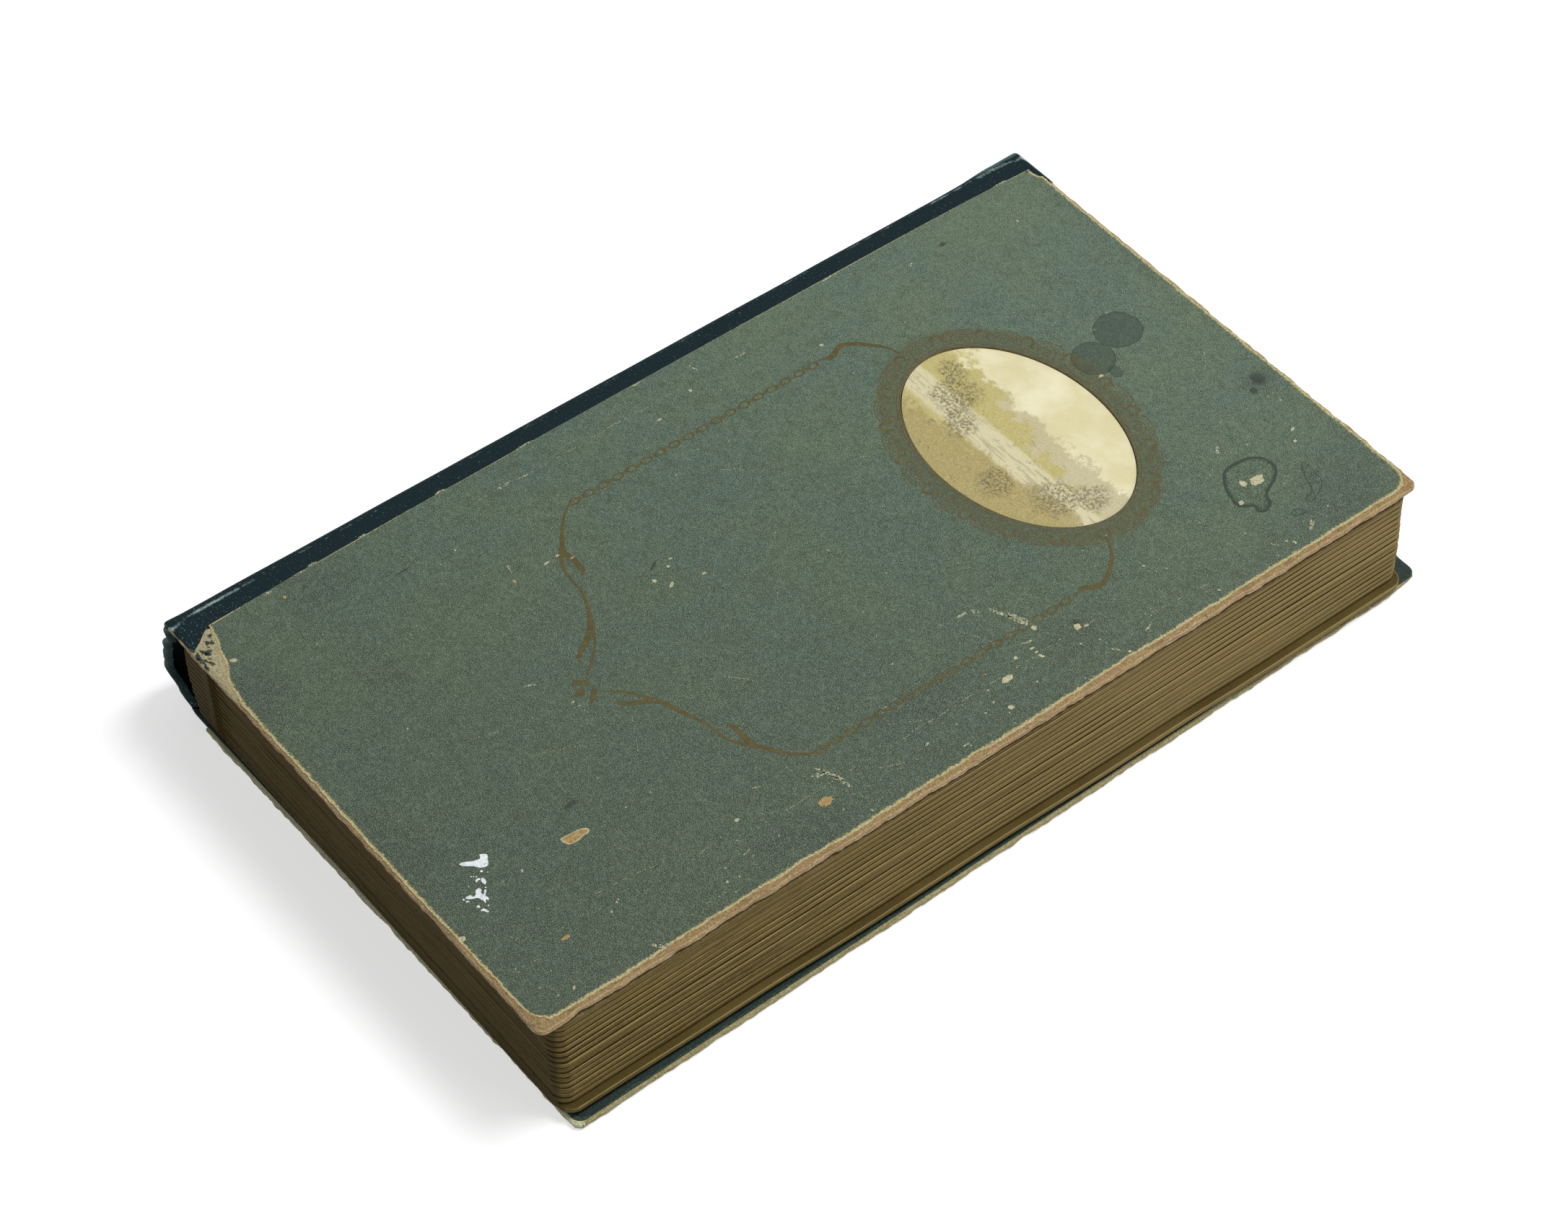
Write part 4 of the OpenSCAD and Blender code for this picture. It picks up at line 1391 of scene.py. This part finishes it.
def gapMiddle(i, u, v):
    # height of the gap above sheet i, which wanders a little
    z = sheetZ(i) + sheetThick(i) / 2 + leaves["gap"] / 2
    return z + leaves["wave"] * wobble(u, v, i * 7.3, 70) * limit((u - 30) / 60)


def gapHalf(i, u, v):
    # half the gap above sheet i, which nearly closes in places
    return max(leaves["gapLeast"], leaves["gapHalf"] + leaves["gapVaries"] * wobble(u, v, i * 5.1 + 40, 55))


def roundForeCorners(piece):
    # cuts both fore corners round with a few straight cuts
    r, cuts = leaves["corner"], leaves["cornerCuts"]
    onlySelect(piece)
    editMode(True)
    for v, sign in ((0, -1), (leaves["tall"], 1)):
        for step in range(cuts):
            a = math.radians(90 * (step + 0.5) / cuts)
            way = Vector((math.cos(a), sign * math.sin(a), 0))
            centre = Vector((leaves["wide"] - r, v - sign * r, 0))
            bpy.ops.mesh.select_all(action="SELECT")
            bpy.ops.mesh.bisect(plane_co=centre + way * r, plane_no=way, clear_outer=True)
    editMode(False)


def leafMaster():
    # one leaf, flat: slab with round fore corners, eased arrises and the slits for four cards
    piece = startGrid("LeafMaster", (leaves["linen"], 0), (leaves["wide"], leaves["tall"]),
                      -leaves["thick"] / 2, *leaves["cells"])
    roundForeCorners(piece)
    editMode(True)
    bpy.ops.mesh.select_all(action="SELECT")
    # the rim keeps the shading of the arris off the page
    bpy.ops.mesh.inset(thickness=leaves["pageRim"], use_even_offset=False)
    editMode(False)
    thicken(piece, leaves["thick"])
    editMode(True)
    pick("EDGE", lambda e: len(e.link_faces) == 2 and e.calc_face_angle(0) > 1)
    bpy.ops.mesh.select_mode(type="EDGE")
    mesh = bmesh.from_edit_mesh(piece.data)
    for edge in mesh.edges:
        if edge.select and abs(edge.verts[0].co.z - edge.verts[1].co.z) > 0.1:
            edge.select_set(False)
    bmesh.update_edit_mesh(piece.data)
    bpy.ops.mesh.bevel(offset=leaves["arris"], segments=2)
    editMode(False)
    cutter = slitCutter()
    applyModifier(piece, "BOOLEAN", operation="DIFFERENCE", object=cutter, solver="EXACT")
    bpy.data.objects.remove(cutter)
    return piece


def slitCutter():
    # a slit across every corner of four cards, two by two
    wide, high = leaves["cardWide"], leaves["cardTall"]
    freeU = (leaves["wide"] - leaves["cardFrom"] - 2 * wide) / 3
    freeV = (leaves["tall"] - 2 * high) / 3
    reach = leaves["slitLong"] / 2 / math.sqrt(2)
    slits = []
    for m, n, p, q in ((m, n, p, q) for m in (0, 1) for n in (0, 1) for p in (-1, 1) for q in (-1, 1)):
        u = leaves["cardFrom"] + freeU + wide / 2 + m * (wide + freeU)
        v = freeV + high / 2 + n * (high + freeV)
        slit = start(bpy.ops.mesh.primitive_cube_add, size=1, rotation=(0, 0, math.radians(-45 * p * q)),
                     location=(u + p * (wide / 2 - reach), v + q * (high / 2 - reach), 0))
        slits.append(sized(slit, leaves["slitLong"], leaves["slitWide"], leaves["thick"] + 1))
    return joinPieces("SlitCutter", slits)


def leafArrisWearLightShade(p):
    # 1 on the upper arris, for its wear and painted highlight, -1 on the lower one, for its painted shade, 0
    # elsewhere on the leaf
    middle, page = leaves["thick"] / 2 - 0.4, leaves["thick"] / 2 - 0.02
    atEdge = p.x > leaves["wide"] - 0.5 or p.y < 0.5 or p.y > leaves["tall"] - 0.5
    if abs(p.z) < middle or abs(p.z) >= page and not atEdge:
        return 0
    return 1 if p.z > 0 else -1


def layLeaf(i, p):
    # the flat leaf's point p, laid in the closed album between the gaps below and above it
    atU, atV = sheetPlace(i)
    u, v = p.x + (sheetWide(i) - leaves["wide"]) * limit((p.x - 40) / 60), p.y
    low = gapMiddle(i - 1, u, v) + gapHalf(i - 1, u, v)
    top = gapMiddle(i, u, v) - gapHalf(i, u, v)
    z = low + (top - low) * (p.z / leaves["thick"] + 0.5)
    skive = limit((p.x - leaves["linen"]) / leaves["skive"])  # pared down where the linen is glued on
    z = sheetZ(i) + (z - sheetZ(i)) * (leaves["skived"] + (1 - leaves["skived"]) * skive)
    out = max(0, (u - 120) / 90)
    return Vector((atU + u + out * (0.5 * wobble(i * 9.1, v, 3, 90) + 0.35 * wobble(i * 31.7, 0, 3, 9)),
                   atV + v + 0.35 * wobble(i * 17.3, 5, 3, 9), z))


master = leafMaster()
for number in range(1, leaves["count"] + 1):
    i = leaves["count"] + 1 - number
    name = f"leaf_{number:02d}"
    leaf = copyPiece(master)
    leaf.name = f"Leaf{number:02d}"
    storeValue(leaf, "arrisWearLightShade", leafArrisWearLightShade)
    mould(leaf, lambda p: layLeaf(i, p))
    done(leaf, leafCard, name, (name,), 50)
bpy.data.objects.remove(master)


def flyleaf(name, i, node):
    piece = startGrid(name, (leaves["linen"], 0), (leaves["wide"], leaves["tall"]), 0, *leaves["flyCells"])
    roundForeCorners(piece)
    atU, atV = sheetPlace(i)
    mould(piece, lambda p: Vector((p.x + atU, p.y + atV,
                                   sheetZ(i) + leaves["flyWave"] * wobble(p.x, p.y, i * 3.3, 60))))
    applyModifier(piece, "SOLIDIFY", thickness=leaves["flyPaper"], offset=0)
    done(piece, flyPaper, node, (node,))


flyleaf("FrontFlyleaf", sheetCount - 1, "front_flyleaf")
flyleaf("BackFlyleaf", 0, "back_flyleaf")
print("leaves made")

# the sewn back
sewn = {
    "blockFromJoint": 3,
    "roundOut": 4.2,
    "stubGap": 0.5,
    "stubRag": 0.5,
    "linenThick": 0.22,
    "hingeFrom": -4.6,
    "hingeTo": 9.4,
    # the linen's height over its sheet's middle, from the stub over the crease to the leaf
    "hingeLine": [(-4.6, 1.16), (-0.8, 1.16), (-0.35, 0.75), (0.05, 0.05), (4.2, 0.05), (5.1, 0.52),
                  (9.4, 0.97)],
    "mullThick": 0.3,
    "mullAway": 0.4,
    "mullInset": 0.5,
    "arcShare": 1.04,  # the rounded back against its straight height
    "tapes": 4,
    "tapeWide": 12,
    "tapeThick": 0.45,
    "tapeAway": 0.85,
    "tapeInset": 50,
    "threadAway": 1.15,
    "threadRadius": 0.28,
    "stitchPast": 1.5,
}
blockFoot = sheetZ(0) - leaves["flyThick"] / 2
blockTop = sheetZ(sheetCount - 1) + leaves["flyThick"] / 2
blockTail = leaves["fromTail"] + leaves["leanV"]
blockHead = leaves["fromTail"] + leaves["tall"]


def backOfBlock(z):
    # the back of the sewn block is rounded
    share = limit((z - blockFoot) / (blockTop - blockFoot))
    return sewn["blockFromJoint"] - sewn["roundOut"] * math.sin(math.pi * share) ** 0.8


def makeStub(i):
    atU, atV = sheetPlace(i)
    stub = startGrid("Stub", (0, 0), (1, leaves["tall"]), -sheetThick(i) / 2, 3, 40)
    thicken(stub, sheetThick(i))
    back = backOfBlock(sheetZ(i)) + sewn["stubRag"] * wobble(i * 7.7, 1, 1, 3)
    mould(stub, lambda p: Vector((back + p.x * (atU - sewn["stubGap"] - back), atV + p.y,
                                  sheetZ(i) + p.z * (0.98 + 0.1 * wobble(p.y, i * 3.1, 0, 30)))))
    return stub


stubs = joinPieces("GuardStubs", [makeStub(i) for i in range(sheetCount)])
done(stubs, stubCard, "spine", ("guard_stubs",))


def linenHinge(i, body, replaced):
    # a strip of linen glued to the stub and to the leaf, bare between them
    atU, atV = sheetPlace(i)
    share = min(1, sheetThick(i) / leaves["thick"])
    strip = startGrid("Linen" + body.title().replace("_", ""), (sewn["hingeFrom"], 0),
                      (sewn["hingeTo"], leaves["tall"]), 0, 28, 32)
    mapCloth(strip, lambda vertex: (vertex.co.x, vertex.co.y))
    mould(strip, lambda p: Vector((atU + p.x, atV + p.y,
                                   sheetZ(i) + between(sewn["hingeLine"], p.x) * share)))
    applyModifier(strip, "SOLIDIFY", thickness=sewn["linenThick"], offset=0)
    done(strip, linenCloth, None, replaced)
    at(atU - 0.7, 0, sheetZ(i))
    at(atU + 1.2, 0, sheetZ(i))
    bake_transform(strip)


for i in range(sheetCount):
    number = leaves["count"] + 1 - i
    body = "back_flyleaf" if i == 0 else "front_flyleaf" if i == sheetCount - 1 else f"leaf_{number:02d}"
    linenHinge(i, body, ("leaf_hinges",) if i == 1 else ())


def onBack(name, v0, v1, away, thick, finish, node, cellsV):
    # a strip glued over the rounded back of the block
    strip = startGrid(name, (0, v0), (1, v1), 0, 16, cellsV)

    def bend(p):
        z = blockFoot + p.x * (blockTop - blockFoot)
        return Vector((backOfBlock(z) - away, p.y, z))
    mould(strip, bend)
    applyModifier(strip, "SOLIDIFY", thickness=thick, offset=0)
    done(strip, finish, "spine", (node,))
    abs(v1 - v0) / 1000
    (blockTop - blockFoot) * sewn["arcShare"] / 1000


def tapeV(n):
    first, last = blockTail + sewn["tapeInset"], blockHead - sewn["tapeInset"]
    return first + n * (last - first) / (sewn["tapes"] - 1)


onBack("MullLining", blockTail + sewn["mullInset"], blockHead - sewn["mullInset"], sewn["mullAway"],
       sewn["mullThick"], mullCloth, "mull_lining", 60)
for n in range(sewn["tapes"]):
    onBack(f"SewingTape{n + 1}", tapeV(n) - sewn["tapeWide"] / 2, tapeV(n) + sewn["tapeWide"] / 2,
           sewn["tapeAway"], sewn["tapeThick"], tapeCloth, "sewing_tapes", 4)


def firstStitch():
    # one stitch over a tape, whose ends dive into the sewing holes on each side of it
    half = sewn["tapeWide"] / 2 + sewn["stitchPast"]
    piece = start(bpy.ops.mesh.primitive_cylinder_add, vertices=6, radius=sewn["threadRadius"],
                  depth=2 * half, rotation=(math.pi / 2, 0, 0))
    sized(piece, 1, 1, 1)
    editMode(True)
    for y in (-half * 0.8, -half * 0.5, half * 0.5, half * 0.8):
        bpy.ops.mesh.select_all(action="SELECT")
        bpy.ops.mesh.bisect(plane_co=(0, y, 0), plane_no=(0, 1, 0))
    editMode(False)
    mould(piece, lambda p: Vector((p.x + 3.6 * max(0, abs(p.y) / half - 0.75), p.y, p.z)))
    return piece


first = firstStitch()
stitches = []
for n in range(sewn["tapes"]):
    for i in range(1, leaves["count"] + 1):
        z = sheetZ(i)
        stitch = copyPiece(first)
        stitch.data.transform(Matrix.Translation((backOfBlock(z) - sewn["threadAway"], tapeV(n), z)))
        stitches.append(stitch)
bpy.data.objects.remove(first)
done(joinPieces("SewingThread", stitches), threadWhite, "spine", ("sewing_thread",))
print("sewn back made")

# spine cloth
spine = {
    "joint": 3.2,
    "bowOut": 8,
    "sunk": 0.1,
    "wall": 0.35,
    "stripFront": 11,
    "stripBack": 17,
    "frontOnBoard": 0.14,
    "backOnTable": 0.12,
    # how far along the cloth's own map each piece starts
    "bowFrom": 16,
    "backFrom": 66,
    # faces across the front piece, the bow and the back piece
    "cells": (18, 30, 24),
    # how deep the turned-in ends go, and how far they lie from the end
    "turnIn": [(3.2, 2.6), (2.6, 0.9), (1.6, 0.1), (0.5, 0.1), (0.1, 0.6), (0, 1.4)],
    # the ends follow the slipped back board, most of all at the table
    "slant": 5.7,
    "slantFrom": 0.3,
    # how far along the spine the loose tail, its folds and the loose head reach
    "tailLoose": 26,
    "foldReach": 20,
    "headLoose": 22,
    "bulgeReach": 40,
    # where the loose tail end of the cloth bulges: height and place across
    "tailBulge": [(3.2, -3.2), (5, -7), (7, -10.5), (9.5, -13.4), (13, -15.6), (17, -16), (22, -14.9),
                  (29, -12.4), (34, -10.3), (41, -6.6), (45, -5), (49, -3.8), (51.65, -3.2)],
    # creases of the loose tail end: height, how far out, and half their height
    "tailFolds": [(46.5, 1.5, 2.8), (42.4, -1.5, 1.8), (36, 1.3, 2.8), (30.8, -0.8, 1.6), (20.4, -0.5, 1.6),
                  (14.5, 1.1, 2.4), (8.8, -1.8, 1.6), (5.6, 1.1, 1.5)],
    # how far the head end swells out, along the spine
    "headSwell": [(352, 0), (365, 0.3), (376, 1.25), (386, 1.45), (393, 1.2)],
    # where the cloth ends on the front board
    "frontEnd": [(0, 17), (1.2, 16), (5.2, 13.6), (6.7, 12.2), (9.4, 10.2), (12, 11), (386, 11), (389, 13),
                 (392, 19)],
    # middle of the worn line along the joint, and how strong it is
    "wornLine": [(4, 1.9), (11, 1.1), (29, 1.1), (39, 0.7), (46, 0.2), (362, -0.6), (378, -0.3), (385, 0.1),
                 (389, 1)],
    "wornStrong": [(0, 1.35), (40, 1.1), (60, 0.75), (330, 0.75), (370, 1.1)],
    "wornHalf": 1.5,
}
jointTop = topZ - spine["joint"]
jointArc = 1.5708 * spine["joint"]
jointR = spine["joint"] - spine["sunk"]

chord = topZ - 2 * spine["joint"]
rise = spine["bowOut"] - spine["joint"]
bowR = (chord * chord / 4 + rise * rise) / (2 * rise)
bowHalf = math.asin(chord / 2 / bowR)


# Each profile gives, for a share of its piece, the place across, the way out and how far along the cloth
# that is.
def frontProfile(s):
    # from the edge on the front board, over the board and round the joint
    flat = spine["stripFront"]
    far = s * (flat + jointArc)
    if far < flat:
        return flat - far, topZ - spine["frontOnBoard"], 0, 1, far
    a = math.pi / 2 + (far - flat) / spine["joint"]
    return jointR * math.cos(a), jointTop + jointR * math.sin(a), math.cos(a), math.sin(a), far


def bowProfile(s):
    a = math.pi - bowHalf + 2 * bowHalf * s
    r = bowR - spine["sunk"]
    u = bowR - spine["bowOut"]
    return u + r * math.cos(a), topZ / 2 + r * math.sin(a), math.cos(a), math.sin(a), s * 2 * bowHalf * bowR


def backProfile(s):
    # from the joint to the edge on the back board
    far = s * (spine["stripBack"] + jointArc)
    if far > jointArc:
        return far - jointArc, spine["backOnTable"], 0, -1, far
    a = math.pi + far / spine["joint"]
    return jointR * math.cos(a), spine["joint"] + jointR * math.sin(a), math.cos(a), math.sin(a), far


def bowPlace(z):
    inside = bowR * bowR - (z - topZ / 2) ** 2
    return bowR - spine["bowOut"] - math.sqrt(max(0, inside))


# rows along the cloth, close at its ends: how deep the turned-in end goes, and the place along
rows = list(spine["turnIn"])
rows += [(0, 1.4 + 1.6 * k) for k in range(1, 24)]
rows += [(0, 38.2 + 8.2 * k) for k in range(1, 40)]
rows += [(0, 358 + 1.6 * k) for k in range(21)]
rows += [(deep, tall - v) for deep, v in reversed(spine["turnIn"])]


def fold(u, v, z):
    # puckers of the loose cloth, strong at the tail and the head and faint between them
    tail = max(0, 1 - v / spine["tailLoose"]) ** 1.5
    head = max(0, 1 - (tall - v) / spine["headLoose"]) ** 1.5
    ridge = wobble(z * 1.1, v * 0.25, 2, 6, 3)
    crease = 0
    for high, out, half in spine["tailFolds"]:
        crease += out * math.exp(-((z + 0.12 * v - high) / half) ** 2)
    return ((0.45 * tail + 0.5 * head) * ridge + max(0, 1 - v / spine["foldReach"]) * crease
            + 0.18 * wobble(u, v, z, 26))


def clothPiece(name, profile, cells, startsAt=0):
    count = len(rows) - 1
    piece = startGrid(name, (0, 0), (cells, count), 0, cells, count)
    measured, bulges, rubs = [], [], []
    for vertex in piece.data.vertices:
        deep, v = rows[round(vertex.co.y)]
        u, z, nu, nz, far = profile(vertex.co.x / cells)
        far += startsAt
        if profile is frontProfile and u > 1:
            u = 1 + (u - 1) * (between(spine["frontEnd"], v) - 1) / (spine["stripFront"] - 1)
        loose = limit((-u - 1.2) / 2.2)  # the cloth is glued down on the boards
        fade = max(0, 1 - max(0, v - 4) / spine["bulgeReach"])
        fade = fade * fade * (3 - 2 * fade)
        extra = (between(spine["tailBulge"], z) - bowPlace(z)) * fade if -u > 3.1 else 0
        swell = between(spine["headSwell"], v)
        extra -= swell * limit(-u / 3) * min(1, z / 30)
        push = fold(u, v, z) * loose
        out = push - deep * 0.9
        slant = spine["slantFrom"] + spine["slant"] * (1 - z / topZ) ** 1.1
        vertex.co = (u + extra + nu * out, v + slant, z + nz * out)
        measured.append((far, v - deep))
        bulges.append(min(1, max(0, -u - 1.4) / 2.4 + 0.6 * swell * limit(-u / 1.5)))
        line = spine["stripFront"] - between(spine["wornLine"], v)
        rim = (0.2 if v < tall / 2 else 0.8) if 0 < deep < 1 else 0
        worn = max(0, 1 - abs(far - line) / spine["wornHalf"]) * between(spine["wornStrong"], v)
        rubs.append(worn + rim + max(0, push) * 0.1)
    mapCloth(piece, lambda vertex: measured[vertex.index])
    storeList(piece, "bulge", bulges)
    storeList(piece, "rubbed", rubs)
    # the grid may lie inside out; the wall goes inward from the outer side
    u, z, nu, nz, far = profile(0.5)
    if piece.data.polygons[len(piece.data.polygons) // 2].normal.dot(Vector((nu, 0, nz))) < 0:
        piece.data.flip_normals()
    outer = len(piece.data.vertices)
    applyModifier(piece, "SOLIDIFY", thickness=spine["wall"], offset=-1)
    storeList(piece, "inner", [0 if vertex.index < outer else 1 for vertex in piece.data.vertices])
    return piece


front = clothPiece("SpineClothFront", frontProfile, spine["cells"][0])
done(front, bookcloth, None, ("front_cloth_strip",), 60)
at(-spine["joint"], 0, jointTop)
at(0, 0, topZ)
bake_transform(front)
bow = clothPiece("SpineClothBow", bowProfile, spine["cells"][1], spine["bowFrom"])
done(bow, bookcloth, "spine", ("spine_cloth",), 60)
at(-spine["joint"], 0, 0)
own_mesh(bow)
back = clothPiece("SpineClothBack", backProfile, spine["cells"][2], spine["backFrom"])
done(back, bookcloth, None, ("back_cloth_strip",), 60)
at(0, 0, 0)
at(-spine["joint"], 0, spine["joint"])
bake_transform(back)

spineLining = {"margin": 8, "shift": 3, "inside": 0.75, "thick": 0.5, "arc": 50, "from": 0.04, "part": 0.92}


def bendLining(p):
    u, z, *rest = bowProfile(spineLining["from"] + spineLining["part"] * p.x)
    return Vector((u + spineLining["inside"], p.y + spineLining["shift"], z))


card = startGrid("SpineCard", (0, spineLining["margin"]), (1, tall - spineLining["margin"]), 0, 24, 60)
mapCloth(card, lambda vertex: (vertex.co.x * spineLining["arc"], vertex.co.y))
mould(card, bendLining)
applyModifier(card, "SOLIDIFY", thickness=spineLining["thick"], offset=0)
done(card, spineCard, "spine", ("spine_card",))
at(-spine["joint"] + 0.6, 0, 0)
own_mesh(card)
print("spine made")

# thin remains of the bookcloth on the bare corner of the front board, as flakes
remains = {
    "flakes": [(16.2, 7.6, 1.7, 1.1, 70), (19.8, 5, 2.1, 1.6, 30), (18.4, 3.5, 1.5, 0.8, 20),
               (21.9, 1.4, 2.3, 1.1, 20), (24.8, 3.1, 1.2, 0.9, 30), (19, 0.9, 1.7, 0.8, -20),
               (25.2, 0.7, 1.3, 0.6, 0), (13.4, 9.6, 0.7, 1.1, 20), (17.6, 6.2, 0.6, 0.5, 0),
               (22.4, 3.8, 0.6, 0.5, 0), (15.6, 0.8, 1.4, 0.6, 10)],
    "corners": 22,
    "rag": 0.8,
    "under": 0.21,
}
parts = [flake(*spot, 0, remains["corners"], remains["rag"]) for spot in remains["flakes"]]
left = joinPieces("ClothRemains", parts)
lift(left, topZ - remains["under"])
done(left, clothRemains, "front_cover")
